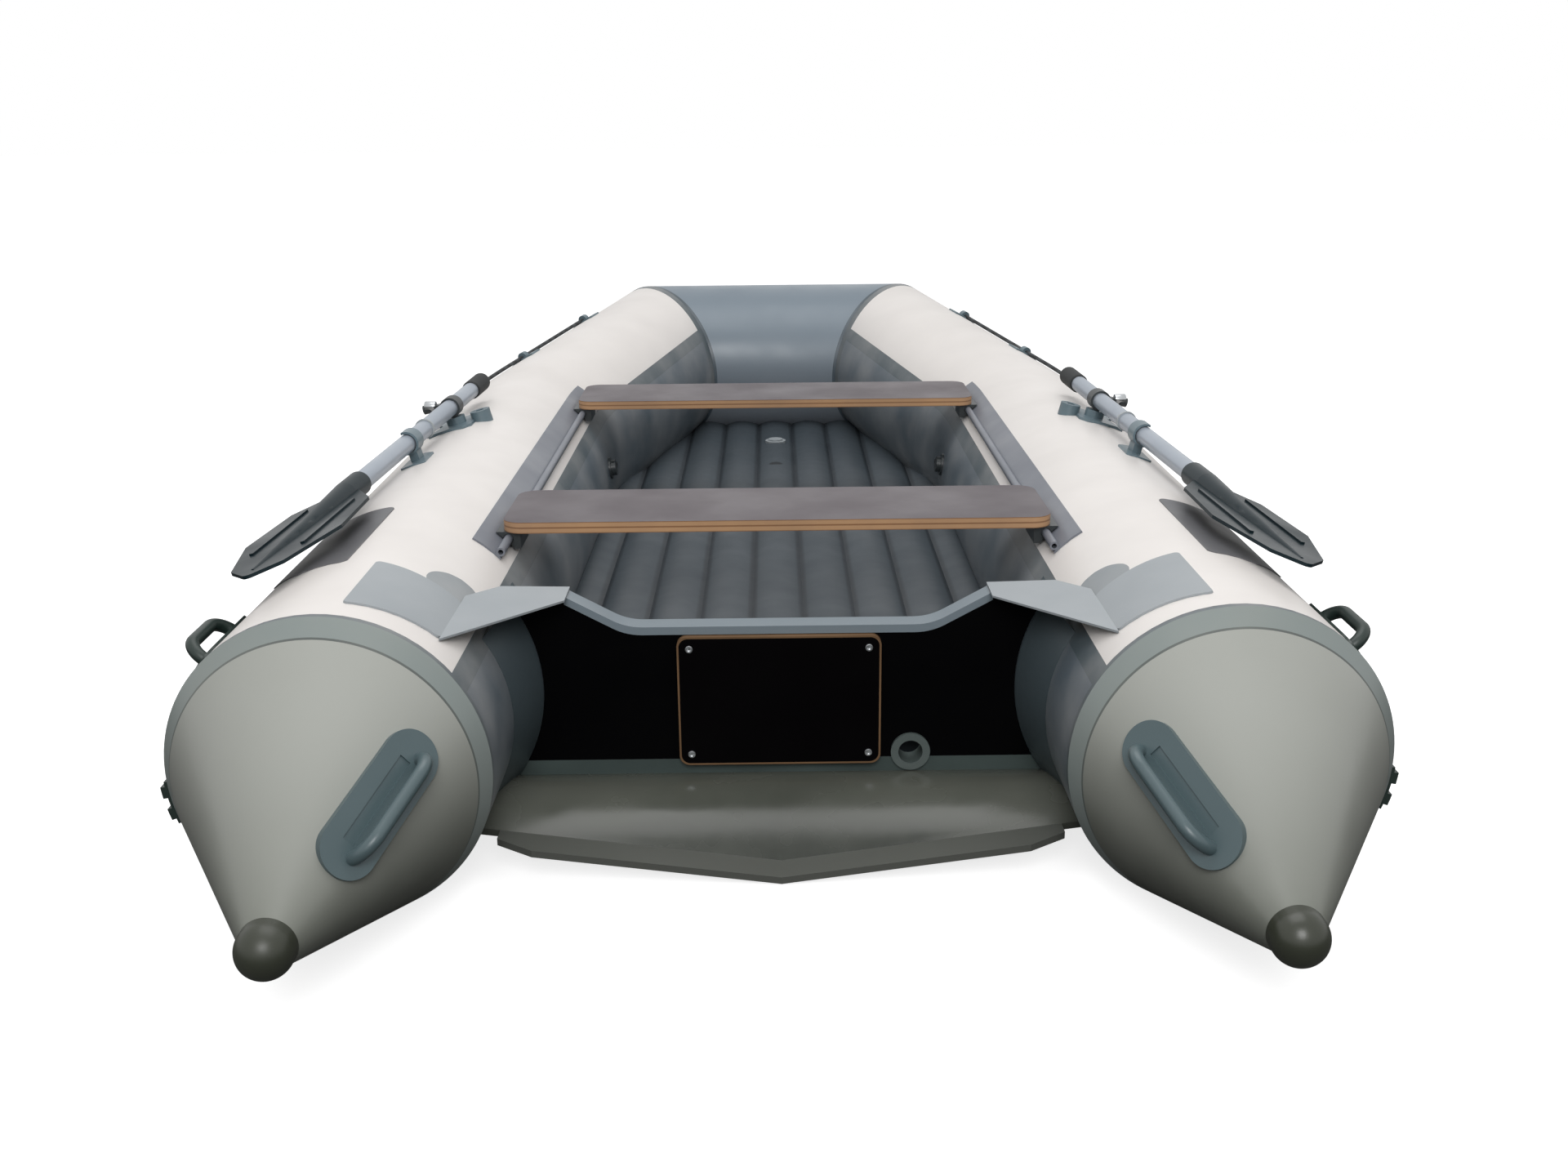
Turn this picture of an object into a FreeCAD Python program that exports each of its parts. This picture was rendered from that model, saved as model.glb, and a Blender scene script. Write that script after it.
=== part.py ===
import FreeCAD, Part
import math
import os

from FreeCAD import Matrix, Placement, Rotation, Vector

# Inflatable boat with two side tubes, a raised transverse bow segment, stern cones, an air
# floor, a plywood transom for an outboard motor, two sliding bench seats and two stowed oars.
# Millimetres. +X is starboard, +Y is forward, +Z is up, and the tubes stand on z = 0.
#
# A "station" is a distance forward of the seam between the side tubes and the stern cones.
# An angle "round the tube" is 0 at the inner side, 90 on top and 180 at the outer side.

# ---- driving dimensions: buoyancy tubes -------------------------------------------------
TUBE_RADIUS = 210.0
TUBE_CENTRE_X = 580.0
BEND_STATION = 1780.0
BEND_TANGENT = 150.0
BOW_STATION = 2650.0
BOW_RISE = 95.0
BOW_HALF_LENGTH = 325.0
CONE_LENGTH = 295.0
CONE_TIP_RADIUS = 33.0
CONE_TIP_INSET = 5.0
CONE_TIP_DROP = 77.0
CAP_RADIUS = 34.0
CAP_RING_LENGTH = 12.0

# ---- bottom, floor and planing strip ----------------------------------------------------
KEEL_CLEARANCE = 2.0
DEADRISE_SLOPE = 0.133
BOTTOM_TOP_DROP = 150.0
BOTTOM_SKIN_THICKNESS = 8.0
BOTTOM_EDGE_INSET = 20.0
STERN_BULGE_STATION = 120.0
BULGE_CREST_RISE = 12.0
BULGE_CROWN = 20.0
STRIP_LENGTH = 50.0
STRIP_THICKNESS = 10.0
STRIP_HALF_WIDTH = 340.0
STRIP_TAB_REACH = 50.0
STRIP_TAB_LENGTH = 26.0
FLOOR_CREST_DROP = 60.0
FLOOR_END_GAP = 60.0
FLOOR_SEAM_DEPTH = 14.0
FLOOR_CHAMBERS = 9
FLOOR_CHAMBER_PITCH = 93.0
FLOOR_VALVE_STATION = 2240.0
FLOOR_VALVE_RADIUS = 27.0

# ---- transom ----------------------------------------------------------------------------
TRANSOM_STATION = 285.0
TRANSOM_THICKNESS = 30.0
CUTOUT_HALF_WIDTH = 220.0
CUTOUT_HEIGHT = 90.0
SHOULDER_X = 308.0
SHOULDER_HEIGHT = 138.0
EDGE_PROFILE_WALL = 3.0
EDGE_PROFILE_DEPTH = 9.0
CUTOUT_CORNER_RADIUS = 90.0
PAD_WIDTH = 296.0
PAD_HEIGHT = 200.0
INNER_PAD_HEIGHT = 120.0
PAD_THICKNESS = 12.0
PAD_CORNER_RADIUS = 15.0
PAD_TOP_GAP = 1.0
DRAIN_X = 193.0
DRAIN_DROP = 106.0
DRAIN_BORE_RADIUS = 18.0
DRAIN_SLEEVE_WALL = 4.0
DRAIN_FLANGE_RADIUS = 29.0
DRAIN_FLANGE_THICKNESS = 5.0
FLAP_THICKNESS = 3.0
FLAP_CREASE_ANGLE = 48.0
FLAP_OUTER_ANGLE = 84.0
HOLDER_REACH = 115.0
HOLDER_HEIGHT = 26.0
HOLDER_TOP_ANGLE = 34.0
HOLDER_LOW_ANGLE = -44.0

# ---- seats and their rails --------------------------------------------------------------
RAIL_FIRST_STATION = 459.0
RAIL_LAST_STATION = 1770.0
RAIL_INNER_ANGLE = 43.5
RAIL_OUTER_ANGLE = 58.0
RAIL_BASE_THICKNESS = 3.0
RAIL_BEAD_ANGLE = 45.5
RAIL_BEAD_RADIUS = 7.0
RAIL_BEAD_BORE = 4.0
SEAT_HALF_LENGTH = 435.0
SEAT_DEPTH = 210.0
SEAT_THICKNESS = 18.0
SEAT_CORNER_RADIUS = 32.0
SEAT_UNDERSIDE = 168.0
AFT_SEAT_STATION = 522.0
FORE_SEAT_STATION = 1530.0
BRACKET_LENGTH = 80.0
BRACKET_SETBACK = 12.0
BRACKET_WIDTH = 38.0
BRACKET_DROP = 28.0
SLIDE_CLEARANCE = 1.0

# ---- oars, rowlocks and clips -----------------------------------------------------------
ROWLOCK_STATION = 1200.0
OAR_AT_ROWLOCK = Vector(641.0, ROWLOCK_STATION, 242.0)
OAR_TIP = Vector(712.0, 150.0, 214.0)
OAR_GRIP_REACH = 245.0
OAR_SHAFT_RADIUS = 16.0
OAR_SHAFT_WALL = 2.0
GRIP_RADIUS = 19.0
GRIP_LENGTH = 95.0
BLADE_LENGTH = 480.0
BLADE_WIDTH = 150.0
BLADE_THICKNESS = 5.0
BLADE_SOCKET_RADIUS = 20.0
BLADE_SOCKET_LENGTH = 70.0
BLADE_RIDGE_RADIUS = 9.0
ROWLOCK_BASE_THICKNESS = 5.0
ROWLOCK_BOSS_RADIUS = 19.0
ROWLOCK_PIN_RADIUS = 7.0
ROWLOCK_PIN_CLEARANCE = 0.08
ROWLOCK_COLLAR_WIDTH = 30.0
ROWLOCK_COLLAR_WALL = 4.0
KNOB_RADIUS = 9.0
KNOB_REACH = 42.0
CLIP_DISTANCE = 290.0
CLIP_WIDTH = 34.0
CLIP_WALL = 4.0
CLIP_CLEARANCE = 1.5
OAR_PATCH_LENGTH = 300.0
OAR_PATCH_WIDTH = 130.0

# ---- handles, strakes, valves and lifeline ----------------------------------------------
STRAKE_TOP_ANGLE = 184.0
STRAKE_LOW_ANGLE = 200.0
STRAKE_THICKNESS = 7.0
STRAKE_RIB_HEIGHT = 6.0
STRAKE_FIRST_STATION = 6.0
SIDE_HANDLE_STATION = 130.0
SIDE_HANDLE_ANGLE = 143.0
SIDE_HANDLE_LENGTH = 112.0
SIDE_HANDLE_PROUD = 30.0
CONE_HANDLE_LENGTH = 210.0
CONE_HANDLE_WIDTH = 74.0
CONE_HANDLE_SHARE = 0.51
CONE_HANDLE_ANGLE = 33.0
HANDLE_BAR_RADIUS = 9.0
PATCH_THICKNESS = 3.0
LIFELINE_ANGLE = 124.0
LIFELINE_RADIUS = 4.5
LIFELINE_FIRST_STATION = 1300.0
LIFELINE_EYELETS = (2030.0, 2420.0)
LIFELINE_GAP = 1.5
TUBE_VALVE_STATION = 1560.0
TUBE_VALVE_ANGLE = 8.0
TUBE_VALVE_RADIUS = 24.0
BOW_RING_ANGLE = -42.0
BOW_HANDLE_ANGLE = 12.0
BOW_HANDLE_PROUD = 32.0

# ---- values that follow from the driving dimensions -------------------------------------
STERN_TIP_STATION = -(CONE_LENGTH + CAP_RING_LENGTH + CAP_RADIUS)
BOW_FRONT_STATION = (BOW_STATION + HANDLE_BAR_RADIUS + (TUBE_RADIUS - 1.0 + BOW_HANDLE_PROUD)
                     * math.cos(math.radians(BOW_HANDLE_ANGLE)))
MID_STATION = (STERN_TIP_STATION + BOW_FRONT_STATION) / 2.0
AXIS_HEIGHT = TUBE_RADIUS
KEEL_DROP = TUBE_RADIUS - KEEL_CLEARANCE
TRANSOM_FORE_STATION = TRANSOM_STATION + TRANSOM_THICKNESS
FLOOR_FIRST_STATION = TRANSOM_FORE_STATION + FLOOR_END_GAP

ALONG = Vector(0.0, 1.0, 0.0)
MITRE_POINT = Vector(BOW_HALF_LENGTH, BOW_STATION, BOW_RISE)
RUN_DIRECTION = (MITRE_POINT - Vector(TUBE_CENTRE_X, BEND_STATION, 0.0)).normalize()
TURN = math.acos(RUN_DIRECTION.y)
BEND_RADIUS = BEND_TANGENT / math.tan(TURN / 2.0)
STRAIGHT_END = BEND_STATION - BEND_TANGENT
BEND_END = STRAIGHT_END + BEND_RADIUS * TURN
BEND_INWARD = Vector(RUN_DIRECTION.x, 0.0, RUN_DIRECTION.z).normalize()
BEND_CENTRE = Vector(TUBE_CENTRE_X, STRAIGHT_END, 0.0) + BEND_INWARD * BEND_RADIUS
BEND_AXIS = ALONG.cross(BEND_INWARD)

OAR_DIRECTION = (OAR_TIP - OAR_AT_ROWLOCK).normalize()
OAR_OUTWARD_RAW = Vector(OAR_AT_ROWLOCK.x - TUBE_CENTRE_X, 0.0, OAR_AT_ROWLOCK.z)
OAR_AT_ROWLOCK_HEIGHT = OAR_OUTWARD_RAW.Length - TUBE_RADIUS
ROWLOCK_LUG_DROP = 24.0
SWING_AXIS = (OAR_OUTWARD_RAW - OAR_DIRECTION * OAR_OUTWARD_RAW.dot(OAR_DIRECTION)).normalize()
OAR_SIDEWAYS = SWING_AXIS.cross(OAR_DIRECTION).normalize()

parts = {}


# ---- small geometry helpers -------------------------------------------------------------
def round_tube(radius, angle, station=0.0):
    """Point at a radius and an angle round the straight starboard tube's axis."""
    turn = math.radians(angle)
    return Vector(TUBE_CENTRE_X - radius * math.cos(turn), station, radius * math.sin(turn))


def fused(shapes):
    """One shape out of several, with the seams between coplanar faces removed."""
    whole = shapes[0]
    for shape in shapes[1:]:
        whole = whole.fuse(shape)
    return whole.removeSplitter()


def mirrored(shape):
    """The port-side copy of a starboard shape."""
    return shape.mirror(Vector(0.0, 0.0, 0.0), Vector(1.0, 0.0, 0.0))


def face_of(points):
    """Flat face through a closed list of corners."""
    return Part.Face(Part.makePolygon(list(points) + [points[0]]))


def rounded_face(points, radius):
    """Flat face through a list of corners, rounded to one radius or to one radius each."""
    edges = []
    starts = []
    ends = []
    count = len(points)
    radii = radius if isinstance(radius, (list, tuple)) else [radius] * count
    for index, corner in enumerate(points):
        radius = radii[index]
        if radius == 0.0:
            starts.append(corner)
            ends.append(corner)
            continue
        before = (points[index - 1] - corner).normalize()
        after = (points[(index + 1) % count] - corner).normalize()
        half = math.acos(max(-1.0, min(1.0, before.dot(after)))) / 2.0
        cut = radius / math.tan(half)
        centre = corner + (before + after).normalize() * (radius / math.sin(half))
        middle = centre + (corner - centre).normalize() * radius
        starts.append(corner + before * cut)
        ends.append(corner + after * cut)
        edges.append(Part.Arc(starts[-1], middle, ends[-1]).toShape())
    for index in range(count):
        edges.append(Part.LineSegment(ends[index], starts[(index + 1) % count]).toShape())
    return Part.Face(Part.Wire(Part.__sortEdges__(edges)))


def half_space(point, normal, size=3000.0):
    """Large block that fills the side of a plane that its normal points to."""
    block = Part.makeBox(size, size, size, Vector(-size / 2.0, -size / 2.0, 0.0))
    block.Placement = Placement(point, Rotation(Vector(0.0, 0.0, 1.0), normal))
    return block


def framed(shape, origin, x_axis, z_axis):
    """Shape drawn in a local frame, set at a place with two of its axes given."""
    z_unit = Vector(z_axis).normalize()
    y_unit = z_unit.cross(x_axis).normalize()
    x_unit = y_unit.cross(z_unit)
    matrix = Matrix(
        x_unit.x, y_unit.x, z_unit.x, origin.x,
        x_unit.y, y_unit.y, z_unit.y, origin.y,
        x_unit.z, y_unit.z, z_unit.z, origin.z,
        0.0, 0.0, 0.0, 1.0,
    )
    moved = shape.copy()
    moved.Placement = Placement(matrix).multiply(shape.Placement)
    return moved


def sector(inner, outer, first_angle, last_angle):
    """Face between two radii and two angles round the starboard tube, at station 0."""
    middle = (first_angle + last_angle) / 2.0
    outer_arc = Part.Arc(round_tube(outer, first_angle), round_tube(outer, middle),
                         round_tube(outer, last_angle))
    inner_arc = Part.Arc(round_tube(inner, last_angle), round_tube(inner, middle),
                         round_tube(inner, first_angle))
    edges = [
        outer_arc.toShape(),
        Part.LineSegment(round_tube(outer, last_angle), round_tube(inner, last_angle)).toShape(),
        inner_arc.toShape(),
        Part.LineSegment(round_tube(inner, first_angle), round_tube(outer, first_angle)).toShape(),
    ]
    return Part.Face(Part.Wire(edges))


def disc(radius, centre, normal):
    """Round face."""
    return Part.Face(Part.Wire(Part.makeCircle(radius, centre, normal)))


def bent(face, along):
    """Face moved from station 0 to a distance along the starboard tube's bent axis."""
    moved = face.copy()
    if along <= STRAIGHT_END:
        moved.translate(ALONG * along)
        return moved
    moved.translate(ALONG * STRAIGHT_END)
    turned = min(along, BEND_END) - STRAIGHT_END
    moved.rotate(BEND_CENTRE, BEND_AXIS, math.degrees(turned / BEND_RADIUS))
    if along > BEND_END:
        moved.translate(RUN_DIRECTION * (along - BEND_END))
    return moved


def swept(face, first, last):
    """Solid of a section face carried along the starboard tube's axis, round its bend."""
    pieces = []
    if first < STRAIGHT_END:
        length = min(last, STRAIGHT_END) - first
        pieces.append(bent(face, first).extrude(ALONG * length))
    if first < BEND_END and last > STRAIGHT_END:
        start = max(first, STRAIGHT_END)
        turn = (min(last, BEND_END) - start) / BEND_RADIUS
        pieces.append(bent(face, start).revolve(BEND_CENTRE, BEND_AXIS, math.degrees(turn)))
    if last > BEND_END:
        start = max(first, BEND_END)
        pieces.append(bent(face, start).extrude(RUN_DIRECTION * (last - start)))
    return fused(pieces)


def tube_patch(outline, angle, thickness=PATCH_THICKNESS, corner=8.0):
    """Sheet that follows the straight starboard tube inside an outline.

    The outline holds (station, distance round the tube from the given angle) corners.
    """
    radial = (round_tube(1.0, angle) - round_tube(0.0, angle)).normalize()
    tangent = ALONG.cross(radial) * -1.0
    foot = round_tube(TUBE_RADIUS / 2.0, angle)
    corners = [foot + ALONG * station + tangent * across for station, across in outline]
    prism = rounded_face(corners, corner).extrude(radial * TUBE_RADIUS)
    spread = 75.0
    shell = sector(TUBE_RADIUS, TUBE_RADIUS + thickness, angle - spread, angle + spread)
    first = min(station for station, across in outline) - 1.0
    last = max(station for station, across in outline) + 1.0
    return swept(shell, first, last).common(prism)


def arched_bar(length, height, radius):
    """Bent handle bar that stands on z = 0 along X, with its feet at both ends."""
    run = length / 2.0
    bend = height * 0.9
    path = Part.Wire([
        Part.LineSegment(Vector(-run, 0, 0), Vector(-run, 0, height - bend)).toShape(),
        Part.Arc(Vector(-run, 0, height - bend),
                 Vector(-run + bend * (1 - math.cos(math.pi / 4)), 0,
                        height - bend + bend * math.sin(math.pi / 4)),
                 Vector(-run + bend, 0, height)).toShape(),
        Part.LineSegment(Vector(-run + bend, 0, height), Vector(run - bend, 0, height)).toShape(),
        Part.Arc(Vector(run - bend, 0, height),
                 Vector(run - bend * (1 - math.cos(math.pi / 4)), 0,
                        height - bend + bend * math.sin(math.pi / 4)),
                 Vector(run, 0, height - bend)).toShape(),
        Part.LineSegment(Vector(run, 0, height - bend), Vector(run, 0, 0)).toShape(),
    ])
    ring = Part.Wire(Part.makeCircle(radius, Vector(-run, 0, 0), Vector(0, 0, 1)))
    return path.makePipeShell([ring], True, False)


def both_sides(name, shape):
    """Keep a starboard piece and its mirror image as two nodes."""
    parts[name + "_starboard"] = shape
    parts[name + "_port"] = mirrored(shape)


# ---- buoyancy tubes ---------------------------------------------------------------------
def side_tube():
    """Starboard side tube, from the cone seam round the bend to the bow mitre."""
    section = disc(TUBE_RADIUS, round_tube(0.0, 0.0), ALONG)
    reach = BEND_END + (MITRE_POINT - bent_point(BEND_END)).Length + TUBE_RADIUS
    tube = swept(section, 0.0, reach)
    return tube.cut(half_space(MITRE_POINT, mitre_normal()))


def bent_point(along):
    """Point of the starboard tube's axis at a distance along it."""
    mark = bent(Part.Vertex(round_tube(0.0, 0.0)), along)
    return mark.Point


def mitre_normal():
    """Normal of the plane where the starboard tube meets the bow segment."""
    return (RUN_DIRECTION + Vector(-1.0, 0.0, 0.0)).normalize()


def between_mitres(shape):
    """Part of a bow piece that lies between the two mitre planes."""
    starboard_block = half_space(MITRE_POINT, mitre_normal() * -1.0)
    return shape.cut(starboard_block).cut(mirrored(starboard_block))


def bow_tube():
    """Raised transverse segment that closes the bow."""
    reach = BOW_HALF_LENGTH + TUBE_RADIUS
    start = Vector(-reach, BOW_STATION, BOW_RISE)
    return between_mitres(Part.makeCylinder(TUBE_RADIUS, 2.0 * reach, start, Vector(1, 0, 0)))


def cone_axis(share):
    """Centre of the starboard stern cone's section at a share of its length."""
    return Vector(TUBE_CENTRE_X - CONE_TIP_INSET * share, -CONE_LENGTH * share,
                  -CONE_TIP_DROP * share)


def stern_cone():
    """Drooping cone that closes the starboard tube behind the transom."""
    back = Vector(0.0, -1.0, 0.0)
    base = Part.Wire(Part.makeCircle(TUBE_RADIUS, cone_axis(0.0), back))
    tip = Part.Wire(Part.makeCircle(CONE_TIP_RADIUS, cone_axis(1.0), back))
    return Part.makeLoft([base, tip], True, True)


def cone_cap():
    """Moulded end cap: a ring and a dome behind the cone's small end."""
    back = Vector(0.0, -1.0, 0.0)
    ring = Part.makeCylinder(CAP_RADIUS, CAP_RING_LENGTH, cone_axis(1.0), back)
    dome_centre = cone_axis(1.0) + back * CAP_RING_LENGTH
    ball = Part.makeSphere(CAP_RADIUS, dome_centre)
    dome = ball.common(half_space(dome_centre, back))
    return fused([ring, dome])


# ---- bottom -----------------------------------------------------------------------------
def keel_height(x):
    """Height of the V bottom's outer skin at a distance from the centre line."""
    return -KEEL_DROP + DEADRISE_SLOPE * abs(x)


def bottom_reach():
    """Half width at which the V bottom's skin runs out into its flat top."""
    return (KEEL_DROP - BOTTOM_TOP_DROP) / DEADRISE_SLOPE


def bottom_sweep(corners, first):
    """Section across the boat carried forward from a station, rising with the bow."""
    section = face_of([Vector(x, first, z) for x, z in corners])
    rise = math.atan2(BOW_RISE, BOW_STATION - BEND_STATION)
    bend_radius = BEND_TANGENT / math.tan(rise / 2.0)
    centre = Vector(0.0, STRAIGHT_END, -KEEL_DROP + bend_radius)
    straight = section.extrude(ALONG * (STRAIGHT_END - first))
    at_bend = section.copy()
    at_bend.translate(ALONG * (STRAIGHT_END - first))
    curve = at_bend.revolve(centre, Vector(1, 0, 0), math.degrees(rise))
    at_run = at_bend.copy()
    at_run.rotate(centre, Vector(1, 0, 0), math.degrees(rise))
    forward = Vector(0.0, math.cos(rise), math.sin(rise))
    run = at_run.extrude(forward * (BOW_STATION - BEND_STATION - BEND_TANGENT))
    return fused([straight, curve, run])


def bottom_skin():
    """V bottom from below the transom to the bow, filled up to the floor amidships."""
    far = TUBE_CENTRE_X - BOTTOM_EDGE_INSET
    skin = BOTTOM_SKIN_THICKNESS
    level = (KEEL_DROP - BOTTOM_TOP_DROP - skin) / DEADRISE_SLOPE
    corners = [
        (-far, keel_height(far)), (0.0, keel_height(0.0)), (far, keel_height(far)),
        (far, keel_height(far) + skin), (level, -BOTTOM_TOP_DROP),
        (-level, -BOTTOM_TOP_DROP), (-far, keel_height(far) + skin),
    ]
    return bottom_sweep(corners, TRANSOM_FORE_STATION)


def below_floor():
    """Everything lower than the inside of the V bottom's skin."""
    far = 2.0 * TUBE_CENTRE_X
    skin = BOTTOM_SKIN_THICKNESS
    corners = [
        (-far, keel_height(far) + skin), (0.0, keel_height(0.0) + skin),
        (far, keel_height(far) + skin), (far, -3.0 * TUBE_RADIUS), (-far, -3.0 * TUBE_RADIUS),
    ]
    return bottom_sweep(corners, TRANSOM_FORE_STATION - 1.0)


def stern_bulge():
    """Rounded end of the inflated bottom, behind the transom's foot."""
    wires = []
    top = -BOTTOM_TOP_DROP + BULGE_CREST_RISE
    for x in (-bottom_reach(), 0.0, bottom_reach()):
        low = keel_height(x) - 0.01
        lip = low + STRIP_THICKNESS
        front = TRANSOM_FORE_STATION
        start = Vector(x, TRANSOM_STATION, top)
        end = Vector(x, STERN_BULGE_STATION, lip)
        crown = (start + end) * 0.5 + Vector(0, 0, BULGE_CROWN)
        wires.append(Part.Wire([
            Part.LineSegment(Vector(x, front, top), start).toShape(),
            Part.Arc(start, crown, end).toShape(),
            Part.LineSegment(end, Vector(x, STERN_BULGE_STATION, low)).toShape(),
            Part.LineSegment(Vector(x, STERN_BULGE_STATION, low), Vector(x, front, low)).toShape(),
            Part.LineSegment(Vector(x, front, low), Vector(x, front, top)).toShape(),
        ]))
    return Part.makeLoft(wires, True, True)


def planing_strip():
    """Stiff lip along the stern end of the bottom, cut back at a slant towards its ends."""
    half = STRIP_HALF_WIDTH
    far = STRIP_HALF_WIDTH + STRIP_TAB_REACH
    aft = STERN_BULGE_STATION - STRIP_LENGTH
    tab = STERN_BULGE_STATION - STRIP_TAB_LENGTH
    low = [Vector(x, aft, keel_height(x)) for x in (-far, 0.0, far)]
    high = [point + Vector(0, 0, STRIP_THICKNESS) for point in reversed(low)]
    slab = face_of(low + high).extrude(ALONG * STRIP_LENGTH)
    outline = [(-far, STERN_BULGE_STATION), (-far, tab), (-half, aft), (half, aft), (far, tab),
               (far, STERN_BULGE_STATION)]
    plan = face_of([Vector(x, y, -2.0 * TUBE_RADIUS) for x, y in outline])
    return slab.common(plan.extrude(Vector(0, 0, 4.0 * TUBE_RADIUS)))


def floor_section():
    """Section of the air floor: flat below, one rounded crest per chamber above."""
    half = FLOOR_CHAMBERS * FLOOR_CHAMBER_PITCH / 2.0
    seam = -(FLOOR_CREST_DROP + FLOOR_SEAM_DEPTH)
    station = FLOOR_FIRST_STATION
    edges = [
        Part.LineSegment(Vector(half, station, seam),
                         Vector(half, station, -BOTTOM_TOP_DROP)).toShape(),
        Part.LineSegment(Vector(half, station, -BOTTOM_TOP_DROP),
                         Vector(-half, station, -BOTTOM_TOP_DROP)).toShape(),
        Part.LineSegment(Vector(-half, station, -BOTTOM_TOP_DROP),
                         Vector(-half, station, seam)).toShape(),
    ]
    for index in range(FLOOR_CHAMBERS):
        left = -half + index * FLOOR_CHAMBER_PITCH
        right = left + FLOOR_CHAMBER_PITCH
        edges.append(Part.Arc(Vector(left, station, seam),
                              Vector((left + right) / 2.0, station, -FLOOR_CREST_DROP),
                              Vector(right, station, seam)).toShape())
    return Part.Face(Part.Wire(edges))


def air_floor(neighbours):
    """Inflated floor between the tubes, from just ahead of the transom to the bow."""
    length = BOW_STATION - FLOOR_FIRST_STATION
    block = floor_section().extrude(ALONG * length)
    for neighbour in neighbours + [below_floor()]:
        block = block.cut(neighbour)
    return largest(block)


def floor_valve():
    """Flush inflation valve in the floor's middle chamber."""
    foot = Vector(0.0, FLOOR_VALVE_STATION, -FLOOR_CREST_DROP - 8.0)
    up = Vector(0, 0, 1)
    flange = Part.makeCylinder(FLOOR_VALVE_RADIUS, 10.0, foot, up)
    cap = Part.makeCylinder(FLOOR_VALVE_RADIUS * 0.7, 14.0, foot, up)
    return fused([flange, cap])


# ---- transom ----------------------------------------------------------------------------
def transom_top():
    """Top line of the transom between its shoulders, from port to starboard."""
    return [
        (-SHOULDER_X, SHOULDER_HEIGHT),
        (-CUTOUT_HALF_WIDTH, CUTOUT_HEIGHT),
        (CUTOUT_HALF_WIDTH, CUTOUT_HEIGHT),
        (SHOULDER_X, SHOULDER_HEIGHT),
    ]


def drain_hole(radius, margin=20.0):
    """Cylinder through the transom at the drain."""
    start = Vector(DRAIN_X, TRANSOM_STATION - margin, -DRAIN_DROP)
    return Part.makeCylinder(radius, TRANSOM_THICKNESS + 2.0 * margin, start, ALONG)


def transom(tubes):
    """Plywood board between the tubes, cut down in the middle for the motor."""
    far = TUBE_CENTRE_X
    outline = [(-far, SHOULDER_HEIGHT)] + transom_top() + [
        (far, SHOULDER_HEIGHT), (far, -BOTTOM_TOP_DROP), (-far, -BOTTOM_TOP_DROP)]
    corners = [Vector(x, TRANSOM_STATION, z) for x, z in outline]
    bend = CUTOUT_CORNER_RADIUS
    radii = [0.0, 0.0, bend, bend, 0.0, 0.0, 0.0, 0.0]
    board = rounded_face(corners, radii).extrude(ALONG * TRANSOM_THICKNESS)
    for tube in tubes:
        board = board.cut(tube)
    return board.cut(drain_hole(DRAIN_BORE_RADIUS + DRAIN_SLEEVE_WALL))


def transom_edge_profile(board):
    """U-section strip pressed over the cut-down top edge."""
    top = [(x, z + EDGE_PROFILE_WALL) for x, z in transom_top()]
    low = [(x, z - EDGE_PROFILE_DEPTH) for x, z in reversed(transom_top())]
    station = TRANSOM_STATION - EDGE_PROFILE_WALL
    corners = [Vector(x, station, z) for x, z in top + low]
    depth = TRANSOM_THICKNESS + 2.0 * EDGE_PROFILE_WALL
    radii = [0.0, CUTOUT_CORNER_RADIUS, CUTOUT_CORNER_RADIUS, 0.0] * 2
    return rounded_face(corners, radii).extrude(ALONG * depth).cut(board)


def motor_pad(station, height):
    """Plywood pad that the motor's clamp bears on, from a station forward."""
    top = CUTOUT_HEIGHT - EDGE_PROFILE_DEPTH - PAD_TOP_GAP
    half = PAD_WIDTH / 2.0
    corners = [
        Vector(-half, station, top - height),
        Vector(half, station, top - height),
        Vector(half, station, top),
        Vector(-half, station, top),
    ]
    return rounded_face(corners, PAD_CORNER_RADIUS).extrude(ALONG * PAD_THICKNESS)


def drain_valve():
    """Flanged drain sleeve through the transom."""
    start = Vector(DRAIN_X, TRANSOM_STATION - DRAIN_FLANGE_THICKNESS, -DRAIN_DROP)
    length = TRANSOM_THICKNESS + 2.0 * DRAIN_FLANGE_THICKNESS
    sleeve = Part.makeCylinder(DRAIN_BORE_RADIUS + DRAIN_SLEEVE_WALL, length, start, ALONG)
    aft = Part.makeCylinder(DRAIN_FLANGE_RADIUS, DRAIN_FLANGE_THICKNESS, start, ALONG)
    fore = aft.copy()
    fore.translate(ALONG * (TRANSOM_THICKNESS + DRAIN_FLANGE_THICKNESS))
    return fused([sleeve, aft, fore]).cut(drain_hole(DRAIN_BORE_RADIUS))


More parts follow.
